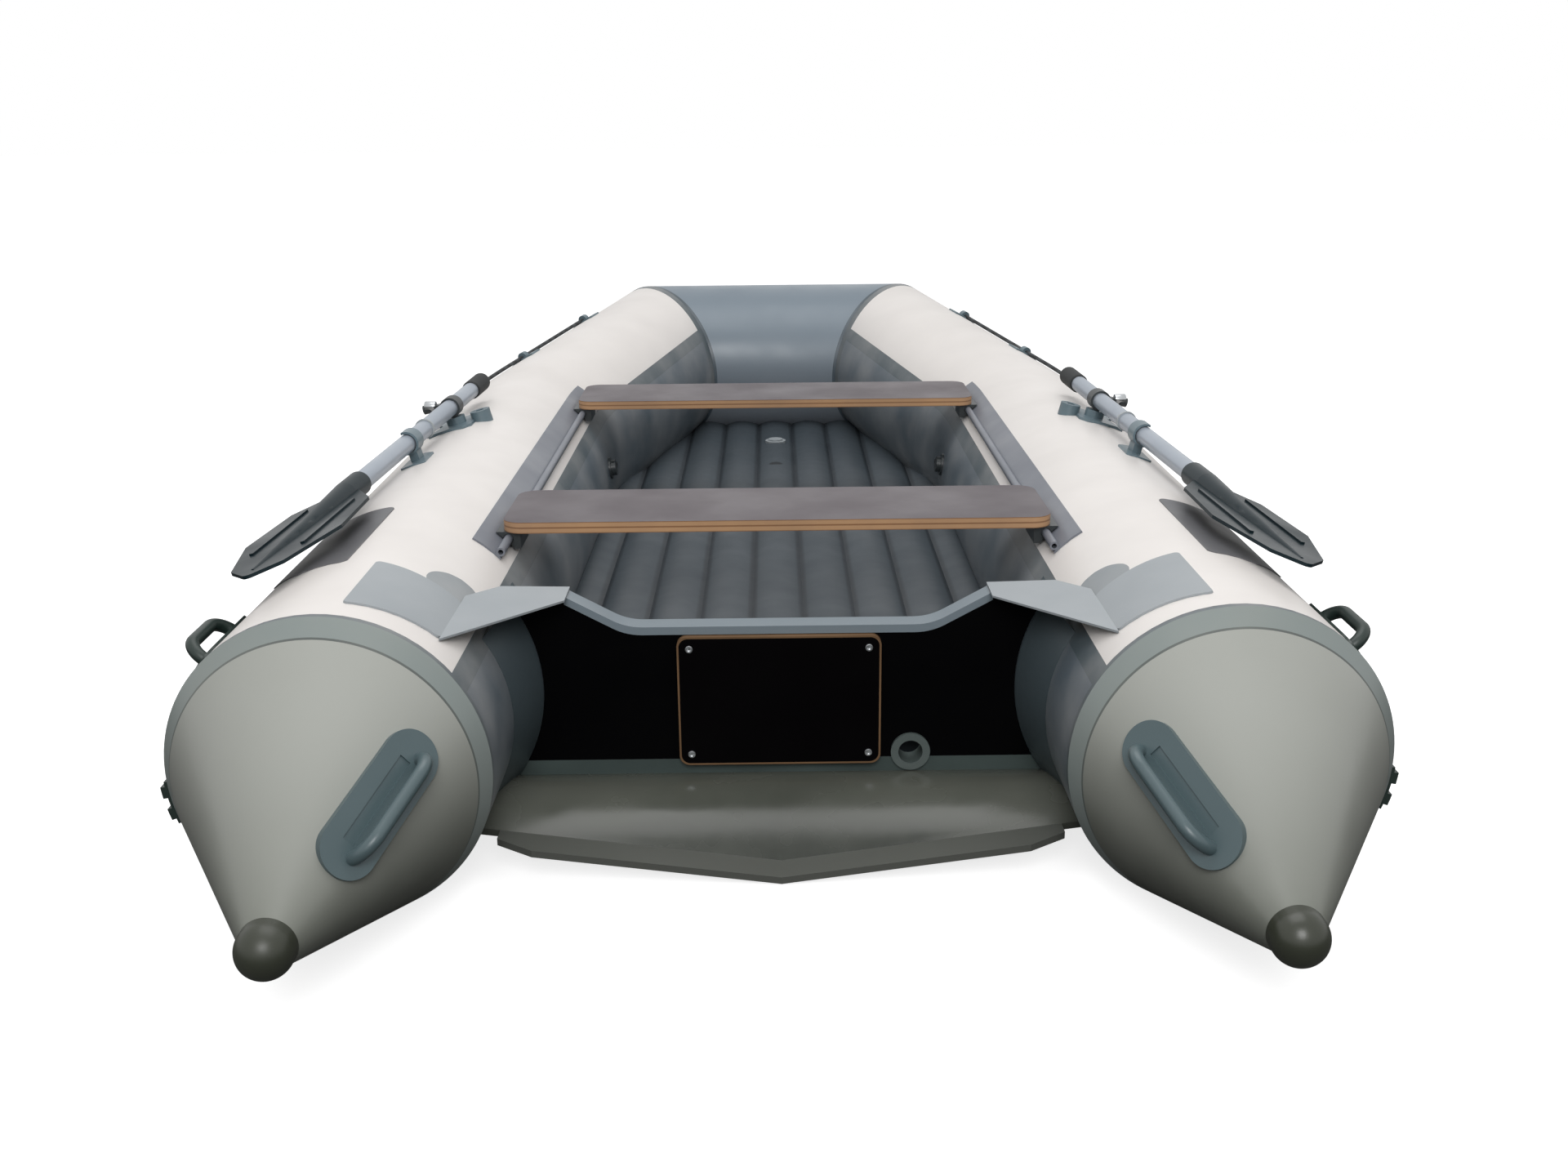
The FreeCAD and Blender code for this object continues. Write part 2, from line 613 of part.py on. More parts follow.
def transom_flap():
    """Fabric flap from the tube's top down to the transom's shoulder."""
    middle = (FLAP_CREASE_ANGLE + FLAP_OUTER_ANGLE) / 2.0
    reach = TUBE_RADIUS * math.sin(math.radians(FLAP_OUTER_ANGLE - middle))
    on_tube = tube_patch(
        [(55.0, -reach), (235.0, -reach), (205.0, reach), (62.0, reach)],
        middle, FLAP_THICKNESS, 6.0)
    crease = round_tube(TUBE_RADIUS + FLAP_THICKNESS, FLAP_CREASE_ANGLE + 0.3)
    inner = SHOULDER_X - 5.0
    rest = SHOULDER_HEIGHT + EDGE_PROFILE_WALL + 0.5
    slope = (crease.z - FLAP_THICKNESS - rest) / (crease.x - inner)

    def corner(x, station):
        return Vector(x, station, rest + slope * (x - inner))

    bridge = face_of([
        corner(crease.x, 55.0),
        corner(inner, 254.0),
        corner(inner, TRANSOM_FORE_STATION + EDGE_PROFILE_WALL),
        corner(crease.x - 40.0, 292.0),
        corner(crease.x, 235.0),
    ]).extrude(Vector(0, 0, FLAP_THICKNESS))
    return fused([on_tube, bridge])


def transom_holder(board):
    """Moulded wedge round the tube's inner side that grips the transom's edge."""
    centre = TRANSOM_STATION + TRANSOM_THICKNESS / 2.0
    half = HOLDER_REACH + TRANSOM_THICKNESS / 2.0
    crest = TRANSOM_THICKNESS / 2.0 + 6.0
    low = math.radians(HOLDER_LOW_ANGLE)

    def corner(station, radius):
        return Vector(TUBE_CENTRE_X - radius * math.cos(low), station, radius * math.sin(low))

    section = face_of([
        corner(centre - half, TUBE_RADIUS),
        corner(centre - crest, TUBE_RADIUS + HOLDER_HEIGHT),
        corner(centre + crest, TUBE_RADIUS + HOLDER_HEIGHT),
        corner(centre + half, TUBE_RADIUS),
    ])
    wedge = section.revolve(round_tube(0.0, 0.0), ALONG, HOLDER_TOP_ANGLE - HOLDER_LOW_ANGLE)
    return wedge.cut(board)


# ---- seats ------------------------------------------------------------------------------
def seat_rail():
    """Glued strip with a hollow bead that the seat brackets slide on."""
    base_outer = TUBE_RADIUS + RAIL_BASE_THICKNESS
    base = sector(TUBE_RADIUS, base_outer, RAIL_INNER_ANGLE, RAIL_OUTER_ANGLE)
    strip = swept(base, RAIL_FIRST_STATION, RAIL_LAST_STATION)
    centre = bead_centre()
    bead = swept(disc(RAIL_BEAD_RADIUS, centre, ALONG), RAIL_FIRST_STATION, RAIL_LAST_STATION)
    bore = swept(disc(RAIL_BEAD_BORE, centre, ALONG),
                 RAIL_FIRST_STATION - 1.0, RAIL_LAST_STATION + 1.0)
    neck = sector(TUBE_RADIUS + 1.0, TUBE_RADIUS + RAIL_BASE_THICKNESS + 3.0,
                  RAIL_BEAD_ANGLE - 1.0, RAIL_BEAD_ANGLE + 1.0)
    web = swept(neck, RAIL_FIRST_STATION, RAIL_LAST_STATION)
    return fused([strip, bead, web]).cut(bore)


def bead_centre():
    """Centre of the rail's bead at station 0."""
    return round_tube(TUBE_RADIUS + RAIL_BASE_THICKNESS + RAIL_BEAD_RADIUS - 0.5, RAIL_BEAD_ANGLE)


def seat_board(station):
    """Plywood bench with rounded corners."""
    corners = [
        Vector(-SEAT_HALF_LENGTH, station, SEAT_UNDERSIDE),
        Vector(SEAT_HALF_LENGTH, station, SEAT_UNDERSIDE),
        Vector(SEAT_HALF_LENGTH, station + SEAT_DEPTH, SEAT_UNDERSIDE),
        Vector(-SEAT_HALF_LENGTH, station + SEAT_DEPTH, SEAT_UNDERSIDE),
    ]
    return rounded_face(corners, SEAT_CORNER_RADIUS).extrude(Vector(0, 0, SEAT_THICKNESS))


def seat_brackets(station):
    """Pair of hooks under a seat's ends, each open round its rail's bead."""
    centre = bead_centre()
    first = station + BRACKET_SETBACK
    half = BRACKET_WIDTH / 2.0
    block = Part.makeBox(BRACKET_WIDTH, BRACKET_LENGTH, BRACKET_DROP,
                         Vector(centre.x - half, first, SEAT_UNDERSIDE - BRACKET_DROP))
    far = BRACKET_LENGTH + 10.0
    swell = Part.makeCylinder(RAIL_BEAD_RADIUS + SLIDE_CLEARANCE, far,
                              Vector(centre.x, first - 5.0, centre.z), ALONG)
    strip = Part.makeCylinder(TUBE_RADIUS + RAIL_BASE_THICKNESS + SLIDE_CLEARANCE + 1.0, far,
                              Vector(TUBE_CENTRE_X, first - 5.0, 0.0), ALONG)
    hook = largest(block.cut(fused([swell, strip])))
    return Part.makeCompound([hook, mirrored(hook)])


def largest(shape):
    """Biggest solid of a shape that a cut has left in pieces."""
    return max(shape.Solids, key=lambda solid: solid.Volume)


# ---- oars -------------------------------------------------------------------------------
def on_oar(distance):
    """Point of the oar's axis at a distance from the rowlock towards the blade."""
    return OAR_AT_ROWLOCK + OAR_DIRECTION * distance


def oar_length():
    """Distance from the rowlock to the blade's tip."""
    return (OAR_TIP - OAR_AT_ROWLOCK).Length


def oar_shaft():
    """Aluminium tube of the oar."""
    first = -OAR_GRIP_REACH + 10.0
    last = oar_length() - BLADE_LENGTH + BLADE_SOCKET_LENGTH * 0.8
    outer = Part.makeCylinder(OAR_SHAFT_RADIUS, last - first, on_oar(first), OAR_DIRECTION)
    inner = Part.makeCylinder(OAR_SHAFT_RADIUS - OAR_SHAFT_WALL, last - first, on_oar(first),
                              OAR_DIRECTION)
    return outer.cut(inner)


def oar_grip():
    """Rubber grip over the shaft's inboard end."""
    start = on_oar(-OAR_GRIP_REACH)
    body = Part.makeCylinder(GRIP_RADIUS, GRIP_LENGTH, start, OAR_DIRECTION)
    body = body.makeFillet(6.0, body.Edges)
    bore = Part.makeCylinder(OAR_SHAFT_RADIUS, GRIP_LENGTH, on_oar(10.0 - OAR_GRIP_REACH),
                             OAR_DIRECTION)
    return body.cut(bore)


def oar_blade():
    """Moulded blade with a socket, a centre ridge and two side ribs on each face."""
    half = BLADE_WIDTH / 2.0
    neck = BLADE_SOCKET_RADIUS
    root = BLADE_SOCKET_LENGTH
    length = BLADE_LENGTH
    corners = [
        Vector(root - 20.0, -neck * 0.7, 0), Vector(root + 70.0, -half * 0.86, 0),
        Vector(length * 0.62, -half, 0), Vector(length - 45.0, -half * 0.52, 0),
        Vector(length, 0, 0), Vector(length - 45.0, half * 0.52, 0),
        Vector(length * 0.62, half, 0), Vector(root + 70.0, half * 0.86, 0),
        Vector(root - 20.0, neck * 0.7, 0),
    ]
    lower = Vector(0, 0, -BLADE_THICKNESS / 2.0)
    plate = rounded_face([point + lower for point in corners], 9.0)
    pieces = [plate.extrude(Vector(0, 0, BLADE_THICKNESS))]
    x_axis = Vector(1, 0, 0)
    pieces.append(Part.makeCylinder(BLADE_SOCKET_RADIUS, root, Vector(0, 0, 0), x_axis))
    pieces.append(Part.makeCone(BLADE_SOCKET_RADIUS, BLADE_RIDGE_RADIUS * 0.4,
                                length - root - 30.0, Vector(root, 0, 0), x_axis))
    for side in (-1.0, 1.0):
        rib = Part.makeBox(length * 0.46, 6.0, BLADE_THICKNESS + 6.0,
                           Vector(root + 70.0, side * half * 0.52 - 3.0,
                                  -BLADE_THICKNESS / 2.0 - 3.0))
        pieces.append(rib)
    whole = fused(pieces)
    bore = Part.makeCylinder(OAR_SHAFT_RADIUS, BLADE_SOCKET_LENGTH * 0.8, Vector(0, 0, 0), x_axis)
    whole = whole.cut(bore)
    return framed(whole, on_oar(oar_length() - BLADE_LENGTH), OAR_DIRECTION, SWING_AXIS)


def rowlock_base():
    """Moulded fishtail base with the boss that the rowlock pin turns in."""
    angle = math.degrees(math.atan2(OAR_AT_ROWLOCK.z, -(OAR_AT_ROWLOCK.x - TUBE_CENTRE_X)))
    st = ROWLOCK_STATION
    plate = tube_patch(
        [(st - 52.0, -22.0), (st - 30.0, -58.0), (st + 20.0, -34.0), (st + 78.0, -58.0),
         (st + 60.0, 0.0), (st + 78.0, 34.0), (st - 30.0, 34.0), (st - 52.0, 22.0)],
        angle, ROWLOCK_BASE_THICKNESS, 5.0)
    foot = OAR_AT_ROWLOCK - SWING_AXIS * (OAR_AT_ROWLOCK_HEIGHT - 2.0)
    boss_height = OAR_AT_ROWLOCK_HEIGHT - 2.0 - OAR_SHAFT_RADIUS - ROWLOCK_COLLAR_WALL - 1.0
    boss = Part.makeCylinder(ROWLOCK_BOSS_RADIUS, boss_height, foot, SWING_AXIS)
    lug_place = OAR_AT_ROWLOCK - SWING_AXIS * ROWLOCK_LUG_DROP - OAR_SIDEWAYS * 46.0 + ALONG * 26.0
    lug = Part.makeCylinder(20.0, 60.0, lug_place - SWING_AXIS * 60.0, SWING_AXIS)
    lug_hole = Part.makeCylinder(8.0, 16.0, lug_place - SWING_AXIS * 12.0, SWING_AXIS)
    tube = Part.makeCylinder(TUBE_RADIUS, 400.0, Vector(TUBE_CENTRE_X, st - 200.0, 0.0), ALONG)
    bore = Part.makeCylinder(ROWLOCK_PIN_RADIUS + ROWLOCK_PIN_CLEARANCE,
                             2.0 * OAR_AT_ROWLOCK_HEIGHT, OAR_AT_ROWLOCK, SWING_AXIS * -1.0)
    whole = fused([plate, boss, lug])
    return whole.cut(fused([bore, lug_hole])).cut(tube)


def rowlock_collar():
    """Clamp round the shaft with the pin below it and a knob at its side."""
    half = ROWLOCK_COLLAR_WIDTH / 2.0
    outer = OAR_SHAFT_RADIUS + ROWLOCK_COLLAR_WALL
    collar = Part.makeCylinder(outer, ROWLOCK_COLLAR_WIDTH, on_oar(-half), OAR_DIRECTION)
    pin_length = OAR_AT_ROWLOCK_HEIGHT - 3.0
    pin = Part.makeCylinder(ROWLOCK_PIN_RADIUS, pin_length, OAR_AT_ROWLOCK, SWING_AXIS * -1.0)
    lug = Part.makeBox(ROWLOCK_COLLAR_WIDTH * 0.7, 14.0, 8.0,
                       Vector(-ROWLOCK_COLLAR_WIDTH * 0.35, outer - 2.0, 2.0))
    lug = framed(lug, OAR_AT_ROWLOCK, OAR_DIRECTION, SWING_AXIS)
    screw = Part.makeCylinder(3.0, KNOB_REACH - outer + 4.0,
                              OAR_AT_ROWLOCK + SWING_AXIS * 6.0 + OAR_SIDEWAYS * (outer - 2.0),
                              OAR_SIDEWAYS)
    knob = Part.makeCylinder(KNOB_RADIUS, 14.0,
                             OAR_AT_ROWLOCK + SWING_AXIS * 6.0 + OAR_SIDEWAYS * KNOB_REACH,
                             OAR_SIDEWAYS)
    shaft = Part.makeCylinder(OAR_SHAFT_RADIUS, 2.0 * OAR_GRIP_REACH,
                              on_oar(-OAR_GRIP_REACH), OAR_DIRECTION)
    return fused([collar, pin, lug, screw, knob]).cut(shaft)


def oar_clip():
    """Spring clip that holds the stowed shaft, open towards the outer side."""
    centre = on_oar(CLIP_DISTANCE)
    inner = OAR_SHAFT_RADIUS + CLIP_CLEARANCE
    outer = inner + CLIP_WALL
    half = CLIP_WIDTH / 2.0
    x_axis = Vector(1, 0, 0)
    ring = Part.makeCylinder(outer, CLIP_WIDTH, Vector(-half, 0, 0), x_axis)
    bore = Part.makeCylinder(inner, CLIP_WIDTH + 2.0, Vector(-half - 1.0, 0, 0), x_axis)
    mouth = Part.makeBox(CLIP_WIDTH + 2.0, outer * 2.0, 2.0 * inner + 8.0,
                         Vector(-half - 1.0, 5.0, -inner))
    height = Vector(centre.x - TUBE_CENTRE_X, 0.0, centre.z).Length - TUBE_RADIUS
    stem = Part.makeBox(CLIP_WIDTH * 0.8, 16.0, height, Vector(-CLIP_WIDTH * 0.4, -12.0, -height))
    body = fused([ring, stem]).cut(bore).cut(mouth)
    clip = framed(largest(body), centre, OAR_DIRECTION, SWING_AXIS)
    angle = math.degrees(math.atan2(centre.z, -(centre.x - TUBE_CENTRE_X)))
    st = centre.y
    plate = tube_patch([(st - 42.0, -24.0), (st + 34.0, -24.0), (st + 52.0, 0.0),
                        (st + 34.0, 24.0), (st - 42.0, 24.0)], angle, PATCH_THICKNESS, 6.0)
    tube = Part.makeCylinder(TUBE_RADIUS, 400.0, Vector(TUBE_CENTRE_X, st - 200.0, 0.0), ALONG)
    return fused([plate, clip.cut(tube)])


def oar_patch():
    """Rounded chafing patch on the tube under the blade."""
    centre = on_oar(oar_length() - BLADE_LENGTH / 2.0)
    angle = math.degrees(math.atan2(centre.z, -(centre.x - TUBE_CENTRE_X))) - 4.0
    first = centre.y - OAR_PATCH_LENGTH / 2.0
    last = centre.y + OAR_PATCH_LENGTH / 2.0
    half = OAR_PATCH_WIDTH / 2.0
    return tube_patch([(first + 40.0, -half), (last - 30.0, -half), (last, -half + 40.0),
                       (last, half), (first, half), (first, -half + 60.0)],
                      angle, 1.5, 12.0)


# ---- handles, strakes, valves and lifeline ----------------------------------------------
def strake_section():
    """Section of the rubbing strake: a flat band with two ribs."""
    base = TUBE_RADIUS + STRAKE_THICKNESS
    spread = STRAKE_LOW_ANGLE - STRAKE_TOP_ANGLE
    bands = [sector(TUBE_RADIUS, base, STRAKE_TOP_ANGLE, STRAKE_LOW_ANGLE)]
    for share in (0.12, 0.62):
        start = STRAKE_TOP_ANGLE + share * spread
        bands.append(sector(TUBE_RADIUS + 1.0, base + STRAKE_RIB_HEIGHT, start,
                            start + 0.26 * spread))
    return fused(bands)


def rubbing_strake():
    """Strake along the starboard tube's outer side."""
    last = BEND_END + (MITRE_POINT - bent_point(BEND_END)).Length + TUBE_RADIUS
    strips = [swept(face, STRAKE_FIRST_STATION, last) for face in strake_section().Faces]
    return fused(strips).cut(half_space(MITRE_POINT, mitre_normal()))


def bow_point(radius, angle, x=0.0):
    """Point round the bow segment; 0 is its front and 90 its top."""
    turn = math.radians(angle)
    return Vector(x, BOW_STATION + radius * math.cos(turn), BOW_RISE + radius * math.sin(turn))


def bow_radial(angle):
    """Outward direction round the bow segment."""
    return (bow_point(1.0, angle) - bow_point(0.0, angle)).normalize()


def bow_ring():
    """Towing eye below the bow: a moulded plate and a steel ring's half loop."""
    radial = bow_radial(BOW_RING_ANGLE)
    plate = Part.makeCylinder(45.0, TUBE_RADIUS, bow_point(TUBE_RADIUS - 60.0, BOW_RING_ANGLE),
                              radial)
    shell = Part.makeCylinder(TUBE_RADIUS + 4.0, 200.0, bow_point(0.0, 0.0, -100.0),
                              Vector(1, 0, 0))
    core = Part.makeCylinder(TUBE_RADIUS, 200.0, bow_point(0.0, 0.0, -100.0), Vector(1, 0, 0))
    loop = framed(arched_bar(50.0, 34.0, 5.0), bow_point(TUBE_RADIUS - 1.0, BOW_RING_ANGLE),
                  Vector(1, 0, 0), radial)
    return fused([plate.common(shell), loop]).cut(core)


def bow_handle():
    """Carrying handle on the bow's front, low enough to stay behind its widest line."""
    radial = bow_radial(BOW_HANDLE_ANGLE)
    bar = framed(arched_bar(150.0, BOW_HANDLE_PROUD, HANDLE_BAR_RADIUS),
                 bow_point(TUBE_RADIUS - 1.0, BOW_HANDLE_ANGLE), Vector(1, 0, 0), radial)
    pieces = [bar]
    shell = Part.makeCylinder(TUBE_RADIUS + 4.0, 400.0, bow_point(0.0, 0.0, -200.0),
                              Vector(1, 0, 0))
    core = Part.makeCylinder(TUBE_RADIUS, 400.0, bow_point(0.0, 0.0, -200.0), Vector(1, 0, 0))
    for x in (-75.0, 75.0):
        foot = Part.makeCylinder(28.0, TUBE_RADIUS,
                                 bow_point(TUBE_RADIUS - 60.0, BOW_HANDLE_ANGLE, x), radial)
        pieces.append(foot.common(shell))
    return fused(pieces).cut(core)


def side_handle():
    """Carrying handle on the starboard tube's outer side near the stern."""
    radial = (round_tube(1.0, SIDE_HANDLE_ANGLE) - round_tube(0.0, SIDE_HANDLE_ANGLE)).normalize()
    bar = framed(arched_bar(SIDE_HANDLE_LENGTH, SIDE_HANDLE_PROUD, HANDLE_BAR_RADIUS),
                 round_tube(TUBE_RADIUS - 1.0, SIDE_HANDLE_ANGLE, SIDE_HANDLE_STATION),
                 ALONG, radial)
    half = SIDE_HANDLE_LENGTH / 2.0 + 22.0
    first = SIDE_HANDLE_STATION - half
    last = SIDE_HANDLE_STATION + half
    plate = tube_patch([(max(first, 2.0), -26.0), (last, -26.0), (last, 26.0),
                        (max(first, 2.0), 26.0)], SIDE_HANDLE_ANGLE, 4.0, 20.0)
    tube = Part.makeCylinder(TUBE_RADIUS, 600.0, Vector(TUBE_CENTRE_X, -300.0, 0.0), ALONG)
    return fused([plate, bar]).cut(tube)


def cone_handle(cone):
    """Moulded handle on the starboard cone's inner aft face."""
    share = CONE_HANDLE_SHARE
    turn = math.radians(CONE_HANDLE_ANGLE)
    radius = TUBE_RADIUS + (CONE_TIP_RADIUS - TUBE_RADIUS) * share
    outward = Vector(-math.cos(turn), 0.0, math.sin(turn))
    place = cone_axis(share) + outward * radius
    generator = (cone_axis(1.0) + outward * CONE_TIP_RADIUS
                 - cone_axis(0.0) - outward * TUBE_RADIUS).normalize()
    round_way = ALONG.cross(outward).normalize()
    normal = generator.cross(round_way).normalize()
    if normal.dot(outward) < 0.0:
        normal = normal * -1.0
    half = CONE_HANDLE_LENGTH / 2.0
    wide = CONE_HANDLE_WIDTH / 2.0
    corners = [Vector(-half, -wide, -22.0), Vector(half, -wide, -22.0),
               Vector(half, wide, -22.0), Vector(-half, wide, -22.0)]
    plate = rounded_face(corners, wide - 0.5).extrude(Vector(0, 0, 27.0))
    window = Part.makeBox(half * 1.2, 16.0, 60.0, Vector(-half * 0.6, -2.0, 0.0))
    bar = arched_bar(CONE_HANDLE_LENGTH - 60.0, 34.0, HANDLE_BAR_RADIUS)
    bar.translate(Vector(0.0, -10.0, 0.0))
    groove = window.common(Part.makeBox(1000, 1000, 3.0, Vector(-500, -500, 2.5)))
    handle = framed(fused([plate.cut(groove), bar]), place, generator, normal)
    return largest(handle.cut(cone))


def tube_valve():
    """Inflation valve on the inner wall of the starboard tube."""
    radial = (round_tube(1.0, TUBE_VALVE_ANGLE) - round_tube(0.0, TUBE_VALVE_ANGLE)).normalize()
    foot = round_tube(TUBE_RADIUS - 6.0, TUBE_VALVE_ANGLE, TUBE_VALVE_STATION)
    flange = Part.makeCylinder(TUBE_VALVE_RADIUS, 10.0, foot, radial)
    cap = Part.makeCylinder(TUBE_VALVE_RADIUS * 0.72, 20.0, foot, radial)
    tube = Part.makeCylinder(TUBE_RADIUS, 300.0,
                             Vector(TUBE_CENTRE_X, TUBE_VALVE_STATION - 150.0, 0.0), ALONG)
    return fused([flange, cap]).cut(tube)


def lifeline():
    """Taut rope along the tube's outer shoulder from the rowlock to the bow eyelet."""
    centre = round_tube(TUBE_RADIUS + LIFELINE_RADIUS + LIFELINE_GAP, LIFELINE_ANGLE)
    section = disc(LIFELINE_RADIUS, centre, ALONG)
    return swept(section, LIFELINE_FIRST_STATION, LIFELINE_EYELETS[-1] + 14.0)


def lifeline_eyelets(rope):
    """Moulded eyes that the rope runs through."""
    eyes = []
    for along in LIFELINE_EYELETS + (LIFELINE_FIRST_STATION + 18.0,):
        base = sector(TUBE_RADIUS, TUBE_RADIUS + 4.0, LIFELINE_ANGLE - 10.0,
                      LIFELINE_ANGLE + 10.0)
        plate = swept(base, along - 24.0, along + 24.0)
        hump = disc(LIFELINE_RADIUS + 7.0,
                    round_tube(TUBE_RADIUS + LIFELINE_RADIUS + LIFELINE_GAP, LIFELINE_ANGLE),
                    ALONG)
        bridge = swept(hump, along - 9.0, along + 9.0)
        core = swept(disc(TUBE_RADIUS, round_tube(0.0, 0.0), ALONG), along - 12.0, along + 12.0)
        eyes.append(fused([plate, bridge.cut(core)]).cut(rope))
    return Part.makeCompound(eyes)


# ---- assembly ---------------------------------------------------------------------------
def build():
    """Model every piece in station coordinates."""
    tube = side_tube()
    both_sides("side_tube", tube)
    parts["bow_tube"] = bow_tube()
    tubes = [parts["side_tube_starboard"], parts["side_tube_port"], parts["bow_tube"]]
    cone = stern_cone()
    both_sides("stern_cone", cone)
    both_sides("cone_cap", cone_cap())

    board = transom(tubes)
    parts["transom_board"] = board
    parts["transom_edge_profile"] = transom_edge_profile(board)
    parts["motor_pad_aft"] = motor_pad(TRANSOM_STATION - PAD_THICKNESS, PAD_HEIGHT)
    parts["motor_pad_fore"] = motor_pad(TRANSOM_FORE_STATION, INNER_PAD_HEIGHT)
    parts["drain_valve"] = drain_valve()
    both_sides("transom_flap", transom_flap())
    holder = transom_holder(board)
    both_sides("transom_holder", holder)

    stern = [board, holder, mirrored(holder)]
    parts["air_floor"] = air_floor(tubes + stern)
    bottom = fused([bottom_skin(), stern_bulge()])
    for neighbour in tubes + stern + [parts["air_floor"]]:
        bottom = bottom.cut(neighbour)
    parts["hull_bottom"] = largest(bottom)
    parts["planing_strip"] = planing_strip()
    parts["floor_valve"] = floor_valve().cut(parts["air_floor"])

    both_sides("seat_rail", seat_rail())
    for name, station in (("aft_seat", AFT_SEAT_STATION), ("fore_seat", FORE_SEAT_STATION)):
        parts[name + "_board"] = seat_board(station)
        parts[name + "_brackets"] = seat_brackets(station)

    both_sides("oar_shaft", oar_shaft())
    both_sides("oar_grip", oar_grip())
    both_sides("oar_blade", oar_blade())
    both_sides("rowlock_base", rowlock_base())
    both_sides("rowlock_collar", rowlock_collar())
    both_sides("oar_clip", oar_clip())
    both_sides("oar_patch", oar_patch())

    both_sides("rubbing_strake", rubbing_strake())
    both_sides("side_handle", side_handle())
    both_sides("cone_handle", cone_handle(cone))
    both_sides("tube_valve", tube_valve())
    parts["bow_tow_ring"] = bow_ring()
    parts["bow_handle"] = bow_handle()
    rope = lifeline()
    both_sides("lifeline", rope)
    both_sides("lifeline_eyelets", lifeline_eyelets(rope))


def save():
    """Move the boat to its own frame and write one STEP file per piece."""
    os.makedirs("parts", exist_ok=True)
    shift = Vector(0.0, -MID_STATION, AXIS_HEIGHT)
    for name, shape in parts.items():
        moved = shape.copy()
        moved.translate(shift)
        moved.exportStep(f"parts/{name}.step")


build()
save()
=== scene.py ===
"""Looks of an inflatable boat: coated fabric, film-faced plywood, moulded fittings and oars."""

import logging
import math
from dataclasses import dataclass
from enum import Enum

import bpy
from mathutils import Matrix, Vector


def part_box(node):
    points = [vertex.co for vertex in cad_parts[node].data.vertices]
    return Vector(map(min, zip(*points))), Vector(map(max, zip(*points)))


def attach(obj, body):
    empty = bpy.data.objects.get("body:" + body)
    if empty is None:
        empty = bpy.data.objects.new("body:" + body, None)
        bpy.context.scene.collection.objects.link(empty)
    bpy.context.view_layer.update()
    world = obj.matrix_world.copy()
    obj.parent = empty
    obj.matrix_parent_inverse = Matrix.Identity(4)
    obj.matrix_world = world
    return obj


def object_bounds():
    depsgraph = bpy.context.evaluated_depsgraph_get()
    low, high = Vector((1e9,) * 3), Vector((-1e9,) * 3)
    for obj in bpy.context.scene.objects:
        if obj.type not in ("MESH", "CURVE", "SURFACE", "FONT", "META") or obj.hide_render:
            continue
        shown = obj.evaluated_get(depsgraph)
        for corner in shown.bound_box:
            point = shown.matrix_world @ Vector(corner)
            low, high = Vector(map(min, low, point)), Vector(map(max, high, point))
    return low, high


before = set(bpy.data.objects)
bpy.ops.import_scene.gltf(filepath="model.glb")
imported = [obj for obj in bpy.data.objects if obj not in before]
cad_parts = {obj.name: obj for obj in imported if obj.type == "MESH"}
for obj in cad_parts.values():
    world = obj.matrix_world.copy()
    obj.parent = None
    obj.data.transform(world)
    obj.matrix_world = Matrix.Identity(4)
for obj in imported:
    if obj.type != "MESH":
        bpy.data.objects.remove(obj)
CAD_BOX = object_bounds()

LOG = logging.getLogger("inflatable_boat")
MM = 0.001
TAPE_THICK = 0.0009


class Side(Enum):
    """The two sides of the boat, as the sign of X."""

    STARBOARD = 1
    PORT = -1

    @property
    def label(self) -> str:
        """The side's name as it stands in node and body names."""
        return self.name.lower()


def linear(code: str) -> tuple[float, float, float, float]:
    """Turns an sRGB hex colour into linear RGBA.

    Args:
        code: Colour such as "#A0B0C0".

    Returns:
        Linear red, green, blue and an alpha of 1.
    """
    shares = [int(code[i:i + 2], 16) / 255 for i in (1, 3, 5)]
    low, scale, offset, power = 0.04045, 12.92, 0.055, 2.4
    made = [c / scale if c <= low else ((c + offset) / (1 + offset)) ** power for c in shares]
    return (*made, 1.0)


def add_node(tree: bpy.types.NodeTree, kind: str, inputs: dict | None = None, **settings) -> list:
    """Adds one shader node, with its settings and links.

    Args:
        tree: The node tree that gets the node.
        kind: Node type without its "ShaderNode" prefix.
        inputs: Socket name or number to a value or to an output socket.
        **settings: Attributes of the node.

    Returns:
        The node's output sockets.
    """
    made = tree.nodes.new("ShaderNode" + kind)
    for key, value in settings.items():
        setattr(made, key, value)
    for key, value in (inputs or {}).items():
        if isinstance(value, bpy.types.NodeSocket):
            tree.links.new(value, made.inputs[key])
        else:
            made.inputs[key].default_value = value
    return list(made.outputs)


